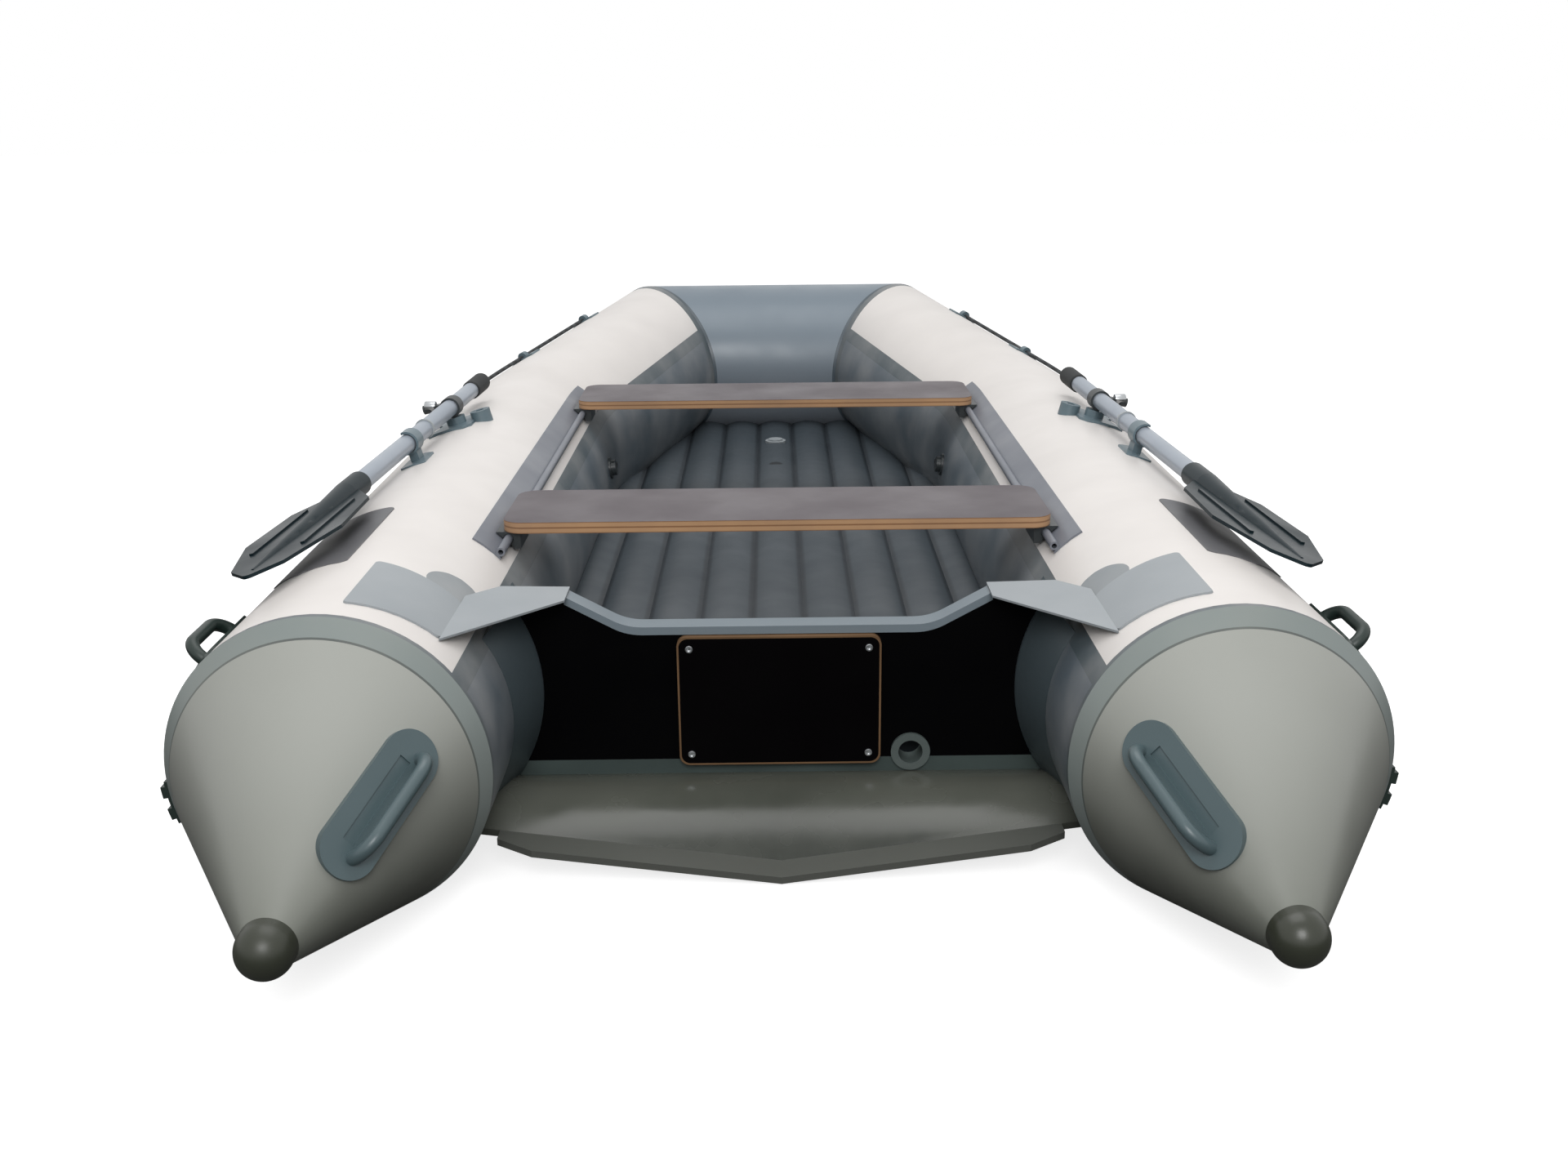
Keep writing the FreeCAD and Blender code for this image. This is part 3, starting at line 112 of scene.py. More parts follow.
@dataclass(frozen=True)
class TubeLine:
    """Centre line of a side tube in the frame, for patterns that follow it."""

    centre_x: float = 0.580
    centre_z: float = 0.210
    bend_y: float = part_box("side_tube_starboard")[0].y + 1.780
    bow_x: float = 0.325
    bow_y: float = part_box("side_tube_starboard")[0].y + 2.650
    bow_z: float = 0.305
    cone_seam_y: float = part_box("side_tube_starboard")[0].y

    def mitre_normal(self) -> Vector:
        """Normal of the plane in which tube and bow segment meet."""
        run = Vector((self.bow_x - self.centre_x, self.bow_y - self.bend_y, self.bow_z - self.centre_z))
        return (run.normalized() + Vector((-1.0, 0.0, 0.0))).normalized()

    def mitre_distance(self, tree: bpy.types.NodeTree, place: bpy.types.NodeSocket) -> bpy.types.NodeSocket:
        """Distance from the mitre plane, on either side of the boat.

        Args:
            tree: The material's node tree.
            place: Socket with Object coordinates.

        Returns:
            Socket with the signed distance in metres.
        """
        mirrored = add_node(tree, "VectorMath", {0: place}, operation="ABSOLUTE")[0]
        corner = (self.bow_x, self.bow_y, self.bow_z)
        offset = add_node(tree, "VectorMath", {0: mirrored, 1: corner}, operation="SUBTRACT")[0]
        return add_node(tree, "VectorMath", {0: offset, 1: self.mitre_normal()}, operation="DOT_PRODUCT")[1]


LINE = TubeLine()


@dataclass(frozen=True)
class Finish:
    """A plain finish with mottled colour and fine relief."""

    name: str
    colour: str
    shade: str
    roughness: float
    metallic: float = 0.0
    mottle_mm: float = 140.0
    mottle: float = 0.25
    grain_mm: float = 2.4
    relief_mm: float = 0.05
    rough_swing: float = 0.08
    specular: float = 0.5

    def paint(self, tree: bpy.types.NodeTree, place: bpy.types.NodeSocket) -> tuple:
        """Colour and height of the finish before mottling.

        Args:
            tree: The material's node tree; not used by the plain finish.
            place: Socket with Object coordinates; not used by the plain finish.

        Returns:
            A colour and a height in metres, each a value or a socket.
        """
        return linear(self.colour), 0.0

    def build(self) -> bpy.types.Material:
        """Makes the material, or finds it if it is there already."""
        if self.name in bpy.data.materials:
            return bpy.data.materials[self.name]
        material = bpy.data.materials.new(self.name)
        material.use_nodes = True
        tree = material.node_tree
        tree.nodes.clear()
        place = add_node(tree, "TexCoord")[3]
        colour, height = self.paint(tree, place)
        cloud = add_node(tree, "TexNoise", {
            "Vector": place, "Scale": 1 / (self.mottle_mm * MM), "Detail": 4.0})[0]
        spread = add_node(tree, "MapRange", {0: cloud, 1: 0.35, 2: 0.7, 3: 0.0, 4: self.mottle})[0]
        toned = add_node(tree, "Mix", {0: spread, 6: colour, 7: linear(self.shade)}, data_type="RGBA")[2]
        grain = add_node(tree, "TexNoise", {
            "Vector": place, "Scale": 1 / (self.grain_mm * MM), "Detail": 2.0})[0]
        relief = add_node(tree, "Math", {
            0: grain, 1: self.relief_mm * MM, 2: height}, operation="MULTIPLY_ADD")[0]
        normal = add_node(tree, "Bump", {"Strength": 1.0, "Distance": 1.0, "Height": relief})[0]
        rough = add_node(tree, "MapRange", {0: cloud, 1: 0.3, 2: 0.7, 3: self.roughness - self.rough_swing,
                                            4: self.roughness + self.rough_swing})[0]
        shader = add_node(tree, "BsdfPrincipled", {
            "Base Color": toned, "Roughness": rough, "Metallic": self.metallic,
            "Specular IOR Level": self.specular, "Normal": normal})[0]
        add_node(tree, "OutputMaterial", {0: shader})
        return material


@dataclass(frozen=True)
class TubePanels(Finish):
    """PVC-coated tube fabric: pale upper panel, grey inner panel darkened further as painted shade, and glued
    seam tapes.
    """

    # Inner panel: its own grey, darkened further as painted shade of the cockpit walls.
    inner: str = "#5E6870"
    tape: str = "#49555B"
    patch: str = "#80888D"
    patch_at: tuple = (0.4507, LINE.cone_seam_y + 0.240, 0.3755)
    patch_radius: float = 0.046
    tape_from_deg: float = 29.5
    tape_to_deg: float = 38.0
    under_deg: float = -110.0
    seam_half: float = 0.010
    mitre_half: float = 0.022

    def paint(self, tree: bpy.types.NodeTree, place: bpy.types.NodeSocket) -> tuple:
        """Panels by angle round the tube, and tapes along their joins."""
        x, y, z = add_node(tree, "SeparateXYZ", {0: place})
        beam = add_node(tree, "Math", {0: x}, operation="ABSOLUTE")[0]
        length = LINE.bow_y - LINE.bend_y
        along = add_node(tree, "MapRange", {0: y, 1: LINE.bend_y, 2: LINE.bow_y, 3: 0.0, 4: 1.0})[0]
        centre = add_node(tree, "Math", {0: along, 1: LINE.bow_x - LINE.centre_x, 2: LINE.centre_x},
                          operation="MULTIPLY_ADD")[0]
        middle = add_node(tree, "Math", {0: along, 1: LINE.bow_z - LINE.centre_z, 2: LINE.centre_z},
                          operation="MULTIPLY_ADD")[0]
        inward = add_node(tree, "Math", {0: centre, 1: beam}, operation="SUBTRACT")[0]
        upward = add_node(tree, "Math", {0: z, 1: middle}, operation="SUBTRACT")[0]
        angle = add_node(tree, "Math", {0: upward, 1: inward}, operation="ARCTAN2")[0]
        half = math.radians(self.tape_to_deg - self.tape_from_deg) / 2
        join = math.radians(self.tape_from_deg) + half
        low = add_node(tree, "Math", {0: angle, 1: join}, operation="LESS_THAN")[0]
        inside = add_node(tree, "Math", {
            0: angle, 1: math.radians(self.under_deg)}, operation="GREATER_THAN")[0]
        panel = add_node(tree, "Math", {0: low, 1: inside}, operation="MULTIPLY")[0]
        strip = add_node(tree, "Math", {0: angle, 1: join, 2: half}, operation="COMPARE")[0]
        ring = add_node(tree, "Math", {0: y, 1: LINE.cone_seam_y, 2: self.seam_half}, operation="COMPARE")[0]
        distance = LINE.mitre_distance(tree, place)
        mitre = add_node(tree, "Math", {0: distance, 1: 0.0, 2: self.mitre_half}, operation="COMPARE")[0]
        tapes = add_node(tree, "Math", {0: strip, 1: ring}, operation="MAXIMUM")[0]
        tapes = add_node(tree, "Math", {0: tapes, 1: mitre}, operation="MAXIMUM")[0]
        # The inner panel's colour carries painted shade on top of its own grey.
        ground = add_node(tree, "Mix", {
            0: panel, 6: linear(self.colour), 7: linear(self.inner)}, data_type="RGBA")[2]
        colour = add_node(tree, "Mix", {0: tapes, 6: ground, 7: linear(self.tape)}, data_type="RGBA")[2]
        flipped = add_node(tree, "CombineXYZ", {0: beam, 1: y, 2: z})[0]
        reach = add_node(tree, "VectorMath", {0: flipped, 1: self.patch_at}, operation="DISTANCE")[1]
        disc = add_node(tree, "Math", {0: reach, 1: self.patch_radius}, operation="LESS_THAN")[0]
        colour = add_node(tree, "Mix", {0: disc, 6: colour, 7: linear(self.patch)}, data_type="RGBA")[2]
        raised = add_node(tree, "Math", {0: tapes, 1: disc}, operation="MAXIMUM")[0]
        height = add_node(tree, "Math", {0: raised, 1: TAPE_THICK}, operation="MULTIPLY")[0]
        return colour, height


@dataclass(frozen=True)
class SeamedFabric(Finish):
    """PVC-coated fabric whose lower part carries painted light, a colour ramp by height, with a glued tape
    along one join.
    """

    # Colour low down: painted light, darker where it paints shade and lighter where it paints a highlight.
    painted_light_low: str = "#22291F"
    dark_z: float = 0.02
    light_z: float = 0.36
    tape: str = "#5D6B72"
    at_mitre: bool = False
    half: float = 0.024
    line: str = "#5A605E"
    line_half: float = 0.0013

    def paint(self, tree: bpy.types.NodeTree, place: bpy.types.NodeSocket) -> tuple:
        """Height gives the painted light, and the distance from the join gives the tape."""
        _, y, z = add_node(tree, "SeparateXYZ", {0: place})
        # Painted light: the colour ramps from the low colour to the fabric's colour with height.
        up = add_node(tree, "MapRange", {
            0: z, 1: self.dark_z, 2: self.light_z}, interpolation_type="SMOOTHSTEP")[0]
        ground = add_node(tree, "Mix", {
            0: up, 6: linear(self.painted_light_low), 7: linear(self.colour)}, data_type="RGBA")[2]
        where = LINE.mitre_distance(tree, place) if self.at_mitre else y
        middle = 0.0 if self.at_mitre else LINE.cone_seam_y
        tapes = add_node(tree, "Math", {0: where, 1: middle, 2: self.half}, operation="COMPARE")[0]
        colour = add_node(tree, "Mix", {0: tapes, 6: ground, 7: linear(self.tape)}, data_type="RGBA")[2]
        offset = add_node(tree, "Math", {0: where, 1: middle}, operation="SUBTRACT")[0]
        away = add_node(tree, "Math", {0: offset}, operation="ABSOLUTE")[0]
        line = add_node(tree, "Math", {0: away, 1: self.half, 2: self.line_half}, operation="COMPARE")[0]
        colour = add_node(tree, "Mix", {0: line, 6: colour, 7: linear(self.line)}, data_type="RGBA")[2]
        height = add_node(tree, "Math", {0: tapes, 1: TAPE_THICK}, operation="MULTIPLY")[0]
        return colour, height


@dataclass(frozen=True)
class ChamberFloor(Finish):
    """Floor fabric whose valleys between air chambers are darker."""

    pitch: float = 0.093
    valley: str = "#2A3035"
    slot: str = "#101315"
    slot_at: tuple = (0.0, 0.70)
    slot_half: tuple = (0.017, 0.014)

    def paint(self, tree: bpy.types.NodeTree, place: bpy.types.NodeSocket) -> tuple:
        """A cosine across the floor, in step with the chambers."""
        x, y, _ = add_node(tree, "SeparateXYZ", {0: place})
        turn = add_node(tree, "Math", {0: x, 1: 2 * math.pi / self.pitch}, operation="MULTIPLY")[0]
        wave = add_node(tree, "Math", {0: turn}, operation="COSINE")[0]
        crest = add_node(tree, "MapRange", {0: wave, 1: -1.0, 2: -0.75}, interpolation_type="SMOOTHSTEP")[0]
        colour = add_node(tree, "Mix", {
            0: crest, 6: linear(self.valley), 7: linear(self.colour)}, data_type="RGBA")[2]
        flat = add_node(tree, "CombineXYZ", {0: x, 1: y, 2: 0.0})[0]
        offset = add_node(tree, "VectorMath", {0: flat, 1: (*self.slot_at, 0.0)}, operation="SUBTRACT")[0]
        scaled = add_node(tree, "VectorMath", {0: offset, 1: (*self.slot_half, 1.0)}, operation="DIVIDE")[0]
        reach = add_node(tree, "VectorMath", {0: scaled}, operation="LENGTH")[1]
        slot = add_node(tree, "Math", {0: reach, 1: 1.0}, operation="LESS_THAN")[0]
        return add_node(tree, "Mix", {0: slot, 6: colour, 7: linear(self.slot)}, data_type="RGBA")[2], 0.0


@dataclass(frozen=True)
class FacedPly(Finish):
    """Plywood with a resin film on its faces and bare veneers on its edges."""

    edge: str = "#B98A5A"
    glue: str = "#6E4A2C"
    veneer: float = 0.0045
    face_axis: int = 2

    def paint(self, tree: bpy.types.NodeTree, place: bpy.types.NodeSocket) -> tuple:
        """The face normal picks film or edge; veneers lie parallel to the film."""
        normal = add_node(tree, "NewGeometry")[1]
        tilt = add_node(tree, "SeparateXYZ", {0: normal})[self.face_axis]
        across = add_node(tree, "SeparateXYZ", {0: place})[self.face_axis]
        flat = add_node(tree, "Math", {0: tilt}, operation="ABSOLUTE")[0]
        is_edge = add_node(tree, "Math", {0: flat, 1: 0.6}, operation="LESS_THAN")[0]
        layer = add_node(tree, "Math", {0: across, 1: self.veneer}, operation="PINGPONG")[0]
        dark = add_node(tree, "MapRange", {
            0: layer, 1: self.veneer * 0.15, 2: self.veneer * 0.4, 3: 0.8, 4: 0.0})[0]
        wood = add_node(tree, "Mix", {
            0: dark, 6: linear(self.edge), 7: linear(self.glue)}, data_type="RGBA")[2]
        colour = add_node(tree, "Mix", {0: is_edge, 6: linear(self.colour), 7: wood}, data_type="RGBA")[2]
        return colour, 0.0


@dataclass(frozen=True)
class RimmedPly(FacedPly):
    """Film-faced board whose rounded border shows a thin rim of bare ply."""

    half_width: float = (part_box("motor_pad_aft")[1].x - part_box("motor_pad_aft")[0].x) / 2
    half_height: float = (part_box("motor_pad_aft")[1].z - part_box("motor_pad_aft")[0].z) / 2
    middle_z: float = (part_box("motor_pad_aft")[1].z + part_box("motor_pad_aft")[0].z) / 2
    corner: float = 0.016
    rim: float = 0.0028

    def paint(self, tree: bpy.types.NodeTree, place: bpy.types.NodeSocket) -> tuple:
        """The distance into a rounded rectangle gives the rim."""
        colour, height = super().paint(tree, place)
        x, _, z = add_node(tree, "SeparateXYZ", {0: place})
        level = add_node(tree, "Math", {0: z, 1: self.middle_z}, operation="SUBTRACT")[0]
        past = []
        for away, half in ((x, self.half_width), (level, self.half_height)):
            size = add_node(tree, "Math", {0: away}, operation="ABSOLUTE")[0]
            over = add_node(tree, "Math", {0: size, 1: half - self.corner}, operation="SUBTRACT")[0]
            past.append(add_node(tree, "Math", {0: over, 1: 0.0}, operation="MAXIMUM")[0])
        both = add_node(tree, "CombineXYZ", {0: past[0], 1: past[1], 2: 0.0})[0]
        reach = add_node(tree, "VectorMath", {0: both}, operation="LENGTH")[1]
        rim = add_node(tree, "Math", {0: reach, 1: self.corner - self.rim}, operation="GREATER_THAN")[0]
        return add_node(tree, "Mix", {0: rim, 6: colour, 7: linear(self.edge)}, data_type="RGBA")[2], height


@dataclass(frozen=True)
class TapedPly(Finish):
    """Black film-faced transom plywood with a glued grey tape along its foot."""

    tape: str = "#4F5A58"
    tape_top: float = 0.095

    def paint(self, tree: bpy.types.NodeTree, place: bpy.types.NodeSocket) -> tuple:
        """The tape covers all below its upper edge."""
        z = add_node(tree, "SeparateXYZ", {0: place})[2]
        tape = add_node(tree, "Math", {0: z, 1: self.tape_top}, operation="LESS_THAN")[0]
        colour = add_node(tree, "Mix", {
            0: tape, 6: linear(self.colour), 7: linear(self.tape)}, data_type="RGBA")[2]
        return colour, add_node(tree, "Math", {0: tape, 1: TAPE_THICK}, operation="MULTIPLY")[0]


@dataclass(frozen=True)
class BraidedRope(Finish):
    """Polypropylene rope: short slanted strands."""

    strand: float = 0.012
    strand_relief: float = 0.0008
    lit_strand: str = "#3A3F42"

    def paint(self, tree: bpy.types.NodeTree, place: bpy.types.NodeSocket) -> tuple:
        """Diagonal bands of light and dark strands."""
        band = add_node(tree, "TexWave", {
            "Vector": place, "Scale": 1 / (6.28 * self.strand), "Distortion": 0.4},
            bands_direction="DIAGONAL")[1]
        colour = add_node(tree, "Mix", {
            0: band, 6: linear(self.colour), 7: linear(self.lit_strand)}, data_type="RGBA")[2]
        return colour, add_node(tree, "Math", {0: band, 1: self.strand_relief}, operation="MULTIPLY")[0]


TUBE_PVC = TubePanels("pvc_coated_tube_fabric", "#ECE7E3", "#DAD6D3", 0.42)
# Bow: its lighter low colour is a painted highlight of the front light on its lower and middle part.
BOW_PVC = SeamedFabric("pvc_coated_bow_fabric", "#7C8994", "#717D88", 0.38, painted_light_low="#979BA2",
                       light_z=0.46, at_mitre=True, half=0.005, tape="#49545C", line="#49545C")
# Cones: the darker low colour is painted shade towards their undersides.
CONE_PVC = SeamedFabric("pvc_coated_cone_fabric", "#A6A8A2", "#989A93", 0.38, painted_light_low="#565A50",
                        tape="#868F8D", relief_mm=0.02)
# Hull bottom: the near-black low colour is painted shade on the lower part of the stern bulge.
BOTTOM_PVC = SeamedFabric("pvc_coated_bottom_fabric", "#85877E", "#6A6D64", 0.26, painted_light_low="#1A2018",
                          light_z=0.15, half=0.0, line_half=0.0)
CAP_TPU = Finish("moulded_tpu_cap", "#35382E", "#2A2D24", 0.38)
FLOOR_PVC = ChamberFloor("pvc_coated_floor_fabric", "#434B51", "#343B41", 0.46, specular=0.35)
FLAP_PVC = Finish("pvc_coated_flap_fabric", "#9DA3A7", "#8F959A", 0.42)
RAIL_PVC = Finish("pvc_coated_rail_strip", "#757982", "#696D75", 0.42)
DARK_PVC = Finish("pvc_coated_reinforcement", "#4B565B", "#3E474C", 0.42, specular=0.35)
PATCH_PVC = Finish("pvc_coated_chafing_patch", "#6A6A6D", "#5C5D60", 0.44, specular=0.35)
STRIP_PVC = Finish("extruded_planing_strip", "#5C5E59", "#4C4E4A", 0.38)
VALVE_MOULD = Finish("moulded_valve_ring", "#5A6462", "#454E4C", 0.34)
EDGE_PVC = Finish("extruded_pvc_profile", "#7E8A92", "#6D7880", 0.36)
GREY_MOULD = Finish("moulded_pvc_fitting", "#687A82", "#56676E", 0.36)
HANDLE_MOULD = Finish("moulded_pvc_handle", "#526367", "#425053", 0.34)
DARK_MOULD = Finish("moulded_nylon_dark", "#33383A", "#262A2C", 0.40)
LIGHT_MOULD = Finish("moulded_nylon_light", "#A7ADB0", "#8F9598", 0.40)
HANDLE_RUBBER = Finish("moulded_rubber", "#22302C", "#161E1B", 0.45)
GRIP_FOAM = Finish("foam_rubber_grip", "#1B1E1F", "#101213", 0.70, relief_mm=0.2)
SEAT_PLY = FacedPly("film_faced_seat_plywood", "#51494E", "#433C40", 0.42, edge="#CDA27A", glue="#8A6140",
                    specular=0.35)
PAD_PLY = RimmedPly("film_faced_pad_plywood", "#040304", "#060506", 0.45, edge="#7E634A", face_axis=1,
                    specular=0.04)
TRANSOM_PLY = TapedPly("film_faced_transom_plywood", "#030304", "#050506", 0.48, specular=0.04)
OAR_ALLOY = Finish("anodised_aluminium_tube", "#A6AEB8", "#929BA6", 0.38, metallic=0.45, grain_mm=0.6)
BLADE_PP = Finish("moulded_polypropylene_blade", "#14242A", "#0E191D", 0.34, specular=0.16)
STEEL = Finish("stainless_steel_bright", "#B9BCBE", "#9DA0A3", 0.28, metallic=1.0)
ROPE_PP = BraidedRope("braided_polypropylene_rope", "#15181A", "#0C0E0F", 0.65)

NODE_FINISHES = {
    "side_tube": TUBE_PVC, "bow_tube": BOW_PVC, "stern_cone": CONE_PVC, "cone_cap": CAP_TPU,
    "air_floor": FLOOR_PVC, "hull_bottom": BOTTOM_PVC, "planing_strip": STRIP_PVC,
    "floor_valve": LIGHT_MOULD, "transom_board": TRANSOM_PLY, "transom_edge": EDGE_PVC,
    "motor_pad": PAD_PLY, "drain_valve": VALVE_MOULD, "transom_flap": FLAP_PVC,
    "transom_holder": DARK_PVC, "seat_rail": RAIL_PVC, "aft_seat_board": SEAT_PLY,
    "fore_seat_board": SEAT_PLY, "aft_seat_brackets": DARK_MOULD, "fore_seat_brackets": DARK_MOULD,
    "oar_shaft": OAR_ALLOY, "oar_grip": GRIP_FOAM, "oar_blade": BLADE_PP, "oar_clip": GREY_MOULD,
    "oar_patch": PATCH_PVC, "rowlock_base": GREY_MOULD, "rowlock_collar": DARK_MOULD,
    "rubbing_strake": HANDLE_RUBBER, "side_handle": HANDLE_RUBBER, "cone_handle": HANDLE_MOULD,
    "tube_valve": DARK_MOULD, "bow_tow_ring": STEEL, "bow_handle": HANDLE_RUBBER,
    "lifeline_eyelets": GREY_MOULD, "lifeline": ROPE_PP,
}


def dress_frame() -> None:
    """Gives each carried-over node its finish. The longest matching name wins."""
    for name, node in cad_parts.items():
        key = max((k for k in NODE_FINISHES if name.startswith(k)), key=len)
        material = NODE_FINISHES[key].build()
        if not node.material_slots:
            LOG.warning("%s has no material slot", name)
        for place in node.material_slots:
            place.link = "OBJECT"
            place.material = material
        LOG.info("node %s: %s", name, material.name)


def settle(piece: bpy.types.Object, name: str, finish: Finish, body: str) -> bpy.types.Object:
    """Finishes a piece: place into its mesh, material, body and slot.

    Args:
        piece: The modelled object.
        name: The piece's name.
        finish: Its finish.
        body: The frame body that it rides on.

    Returns:
        The same object.
    """
    bpy.ops.object.select_all(action="DESELECT")
    piece.select_set(True)
    bpy.context.view_layer.objects.active = piece
    bpy.ops.object.transform_apply(location=True, rotation=True, scale=True)
    bpy.ops.object.mode_set(mode="EDIT")
    bpy.ops.mesh.select_all(action="SELECT")
    bpy.ops.mesh.remove_doubles(threshold=0.00002)
    bpy.ops.mesh.normals_make_consistent(inside=False)
    bpy.ops.object.mode_set(mode="OBJECT")
    bpy.ops.object.shade_smooth_by_angle(angle=math.radians(35))
    piece.name = name
    piece.data.name = name
    piece.data.materials.clear()
    piece.data.materials.append(finish.build())
    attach(piece, body)
    LOG.info("piece %s on %s: %d faces", name, body, len(piece.data.polygons))
    return piece


def turned_piece(at: Vector, axis: Vector, radius: float, depth: float, sides: int, inset: float,
                 sink: float, bevel: float) -> bpy.types.Object:
    """A turned head: a cylinder whose outer end is inset and pushed in, with rounded edges.

    Args:
        at: Middle of the piece.
        axis: Direction from its inner to its outer end.
        radius: Its radius.
        depth: Its length.
        sides: Faces round it.
        inset: Width of the rim left at the outer end.
        sink: How far the middle is pushed in.
        bevel: Edge radius.

    Returns:
        The object, active and in object mode.
    """
    bpy.ops.object.select_all(action="DESELECT")
    turn = Vector((0, 0, 1)).rotation_difference(axis).to_euler()
    bpy.ops.mesh.primitive_cylinder_add(vertices=sides, radius=radius, depth=depth, location=at,
                                        rotation=turn)
    piece = bpy.context.object
    bpy.ops.object.mode_set(mode="EDIT")
    bpy.ops.mesh.select_all(action="DESELECT")
    bpy.ops.object.mode_set(mode="OBJECT")
    for face in piece.data.polygons:
        face.select = face.normal.z > 0.9
    bpy.ops.object.mode_set(mode="EDIT")
    bpy.ops.mesh.inset(thickness=inset, depth=0)
    bpy.ops.mesh.inset(thickness=0.0005, depth=-sink)
    bpy.ops.object.mode_set(mode="OBJECT")
    edge = piece.modifiers.new("edge", "BEVEL")
    edge.width = bevel
    edge.segments = 2
    edge.limit_method = "ANGLE"
    bpy.ops.object.modifier_apply(modifier="edge")
    return piece


@dataclass
class TransomFittings:
    """Screws of the motor pad."""

    screw_radius: float = 0.0055
    screw_depth: float = 0.004
    inset: float = 0.018

    def build(self) -> None:
        """Places a countersunk screw in each corner of the aft pad."""
        low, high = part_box("motor_pad_aft")
        for column, x in (("left", low.x + self.inset), ("right", high.x - self.inset)):
            for row, z in (("low", low.z + self.inset), ("high", high.z - self.inset)):
                at = Vector((x, low.y - self.screw_depth / 4, z))
                screw = turned_piece(at, Vector((0, -1, 0)), self.screw_radius, self.screw_depth, 24, 0.0028,
                                     0.0015, 0.0006)
                settle(screw, f"pad_screw_{row}_{column}", STEEL, "hull")


@dataclass
class OarFittings:
    """Clamp knob and locking ring on each oar."""

    pivot: tuple = (0.641, LINE.cone_seam_y + 1.200, 0.452)
    tip: tuple = (0.712, LINE.cone_seam_y + 0.150, 0.424)
    shaft_radius: float = 0.0175
    ring_distance: float = 0.19
    ring_proud: float = 0.0012
    ring_width: float = 0.006
    knob_radius: float = 0.010
    knob_distance: float = 0.042
    knob_depth: float = 0.022

    def build(self) -> None:
        """Makes both oars' small pieces."""
        for side in Side:
            pivot = Vector((self.pivot[0] * side.value, self.pivot[1], self.pivot[2]))
            tip = Vector((self.tip[0] * side.value, self.tip[1], self.tip[2]))
            along = (tip - pivot).normalized()
            outward = (Vector((side.value, 0, 0)) - along * along.x * side.value).normalized()
            body = f"oar_{side.label}"
            knob = turned_piece(pivot + outward * self.knob_distance, outward, self.knob_radius,
                                self.knob_depth, 14, 0.003, 0.002, 0.001)
            settle(knob, f"clamp_knob_{side.label}", STEEL, body)
            ring = turned_piece(pivot + along * self.ring_distance, along,
                                self.shaft_radius + self.ring_proud, self.ring_width, 40, 0.0008, 0.0, 0.0005)
            settle(ring, f"shaft_joint_ring_{side.label}", LIGHT_MOULD, body)


@dataclass
class InnerLoops:
    """Webbing loops on the inner walls."""

    stations: tuple = (LINE.cone_seam_y + 1.12, LINE.cone_seam_y + 1.60)
    height: float = 0.235
    wall_x: float = LINE.centre_x - 0.2095
    radius: float = 0.018
    band: float = 0.0022
    stretch: tuple = (0.55, 1.0, 3.2)

    def build(self) -> None:
        """Makes two flat loops on each inner wall."""
        for side in Side:
            for number, y in enumerate(self.stations, start=1):
                bpy.ops.object.select_all(action="DESELECT")
                bpy.ops.mesh.primitive_torus_add(major_radius=self.radius, minor_radius=self.band,
                                                 major_segments=40, minor_segments=10,
                                                 location=(side.value * self.wall_x, y, self.height))
                loop = bpy.context.object
                bpy.ops.object.mode_set(mode="EDIT")
                bpy.ops.transform.resize(value=self.stretch)
                bpy.ops.object.mode_set(mode="OBJECT")
                settle(loop, f"wall_loop_{side.label}_{number}", GRIP_FOAM, "hull")


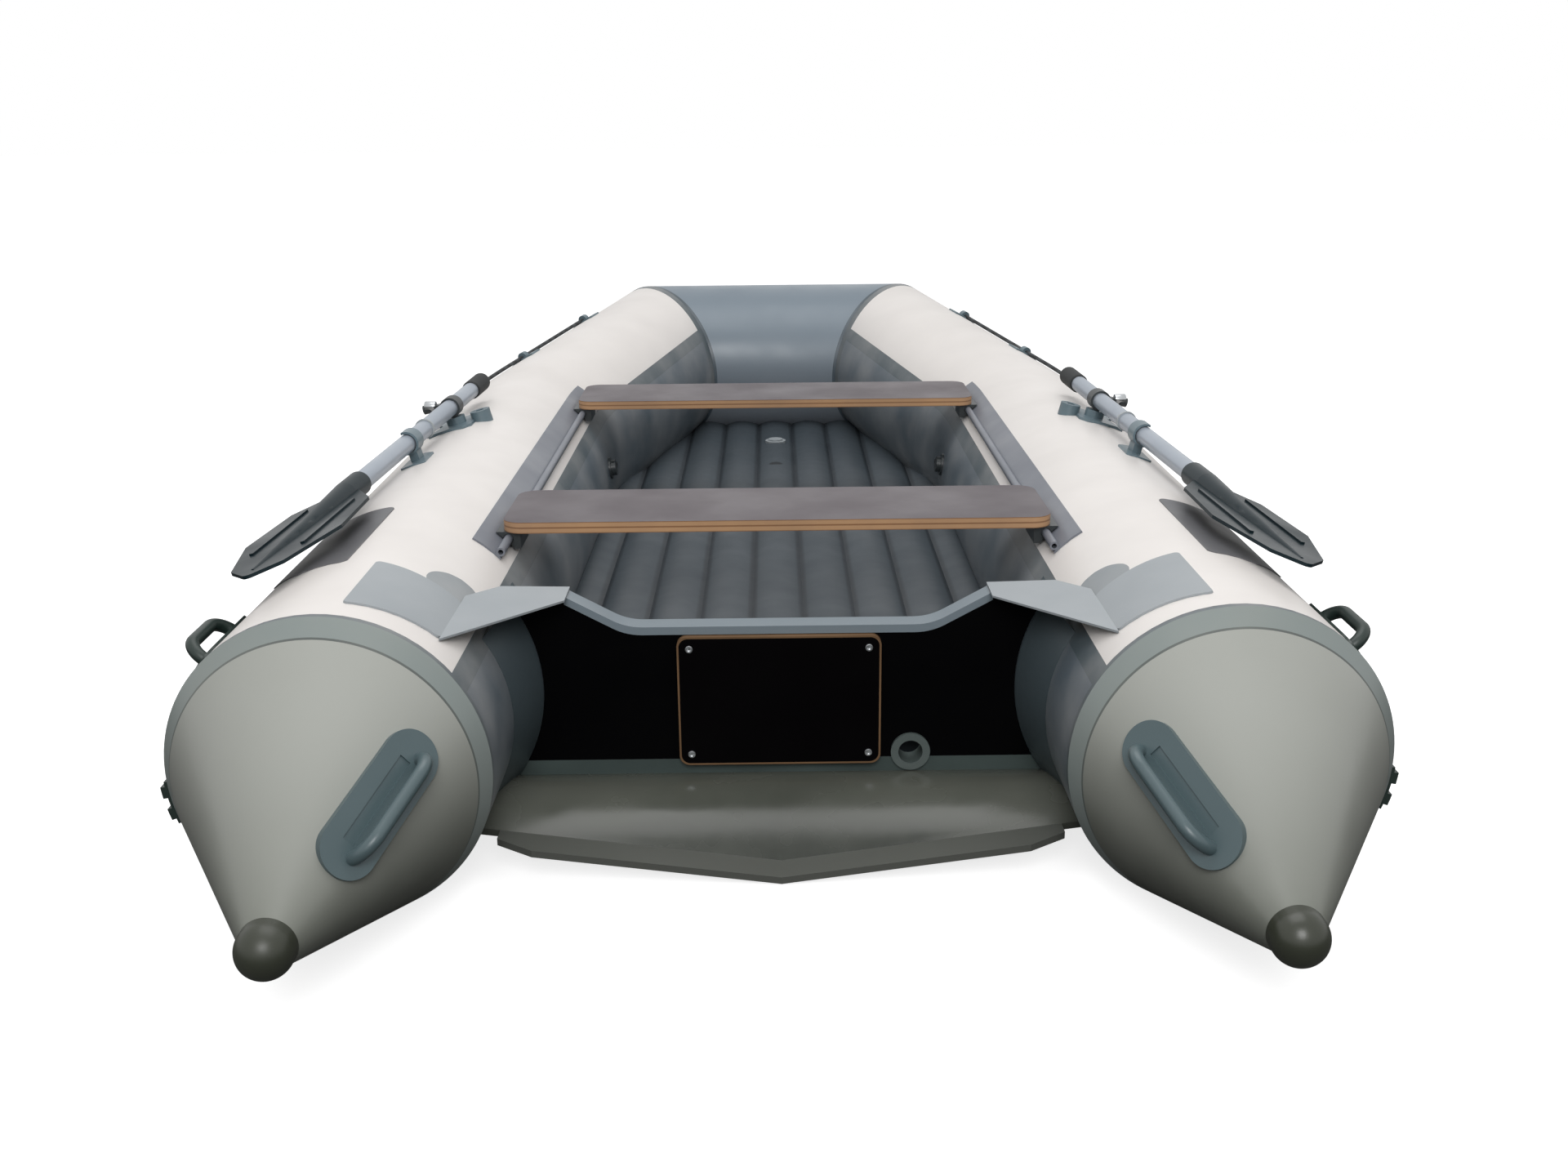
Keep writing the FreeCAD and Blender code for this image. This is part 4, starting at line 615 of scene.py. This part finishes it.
@dataclass
class Studio:
    """White floor, soft light and the camera."""

    eye: tuple = (-0.0036, LINE.cone_seam_y - 1.81703, 1.030)
    pitch: float = 0.3089
    yaw: float = 0.00556
    roll: float = 0.00963
    lens: float = 35.354
    floor_size: float = 60.0
    floor_glow: float = 0.78
    foot_glow: float = 0.07
    crown_glow: float = 0.57
    crown_height: float = 0.85
    aim: tuple = (0, -0.2, 0.2)
    lamps: tuple = (("top_lamp", (0, 0.2, 4.2), 3.2, 62.0), ("stern_lamp", (0, -4.4, 2.7), 1.8, 84.0))

    def camera(self) -> None:
        """Makes the camera from its place and angles."""
        reach = math.cos(self.pitch)
        forward = Vector((math.sin(self.yaw) * reach, math.cos(self.yaw) * reach, -math.sin(self.pitch)))
        level = Vector((math.cos(self.yaw), -math.sin(self.yaw), 0.0))
        below = forward.cross(level)
        right = level * math.cos(self.roll) + below * math.sin(self.roll)
        up = -(below * math.cos(self.roll) - level * math.sin(self.roll))
        data = bpy.data.cameras.new("camera")
        data.lens = self.lens
        data.sensor_width = 36.0
        made = bpy.data.objects.new("camera", data)
        turn = Matrix((right, up, -forward)).transposed().to_4x4()
        made.matrix_world = Matrix.Translation(self.eye) @ turn
        bpy.context.scene.collection.objects.link(made)
        bpy.context.scene.camera = made

    def floor(self) -> None:
        """A plain white floor that keeps the boat's shadow."""
        bpy.ops.object.select_all(action="DESELECT")
        bpy.ops.mesh.primitive_plane_add(size=self.floor_size, location=(0, 0, CAD_BOX[0].z - 0.0005))
        floor = bpy.context.object
        floor.name = "floor"
        material = bpy.data.materials.new("white_floor")
        material.use_nodes = True
        tree = material.node_tree
        tree.nodes.clear()
        seen = add_node(tree, "LightPath")[0]
        matt = add_node(tree, "BsdfDiffuse", {"Color": linear("#CECECE")})[0]
        glow = add_node(tree, "Emission", {"Strength": self.floor_glow})[0]
        bright = add_node(tree, "AddShader", {0: matt, 1: glow})[0]
        dim = add_node(tree, "BsdfDiffuse", {"Color": linear("#626262")})[0]
        both = add_node(tree, "MixShader", {0: seen, 1: dim, 2: bright})[0]
        add_node(tree, "OutputMaterial", {0: both})
        floor.data.materials.append(material)

    def light(self) -> None:
        """A surround that is bright overhead and dim at its foot, and two broad lamps."""
        world = bpy.data.worlds.new("studio")
        bpy.context.scene.world = world
        world.use_nodes = True
        tree = world.node_tree
        tree.nodes.clear()
        path = add_node(tree, "LightPath")
        direct = add_node(tree, "Math", {0: path[0], 1: path[3]}, operation="MAXIMUM")[0]
        height = add_node(tree, "SeparateXYZ", {0: add_node(tree, "TexCoord")[0]})[2]
        glow = add_node(tree, "MapRange", {
            0: height, 1: 0.0, 2: self.crown_height, 3: self.foot_glow, 4: self.crown_glow},
            interpolation_type="SMOOTHSTEP")[0]
        strength = add_node(tree, "MapRange", {0: direct, 3: glow, 4: 1.0})[0]
        sky = add_node(tree, "Background", {0: linear("#FFFFFF"), 1: strength})[0]
        add_node(tree, "OutputWorld", {0: sky})
        for name, place, size, power in self.lamps:
            data = bpy.data.lights.new(name, "AREA")
            data.shape = "SQUARE"
            data.size = size
            data.energy = power
            lamp = bpy.data.objects.new(name, data)
            lamp.location = place
            aim = Vector(self.aim) - Vector(place)
            lamp.rotation_euler = aim.to_track_quat("-Z", "Y").to_euler()
            bpy.context.scene.collection.objects.link(lamp)

    def build(self) -> None:
        """Sets the view and makes camera, floor and lights."""
        bpy.context.scene.view_settings.view_transform = "Standard"
        self.camera()
        self.floor()
        self.light()


def main() -> None:
    """Builds the looks in order."""
    logging.basicConfig(level=logging.INFO, format="%(name)s: %(message)s")
    Studio().build()
    dress_frame()
    for assembly in (TransomFittings(), OarFittings(), InnerLoops()):
        assembly.build()
        LOG.info("built %s", type(assembly).__name__)


if __name__ == "__main__":
    main()
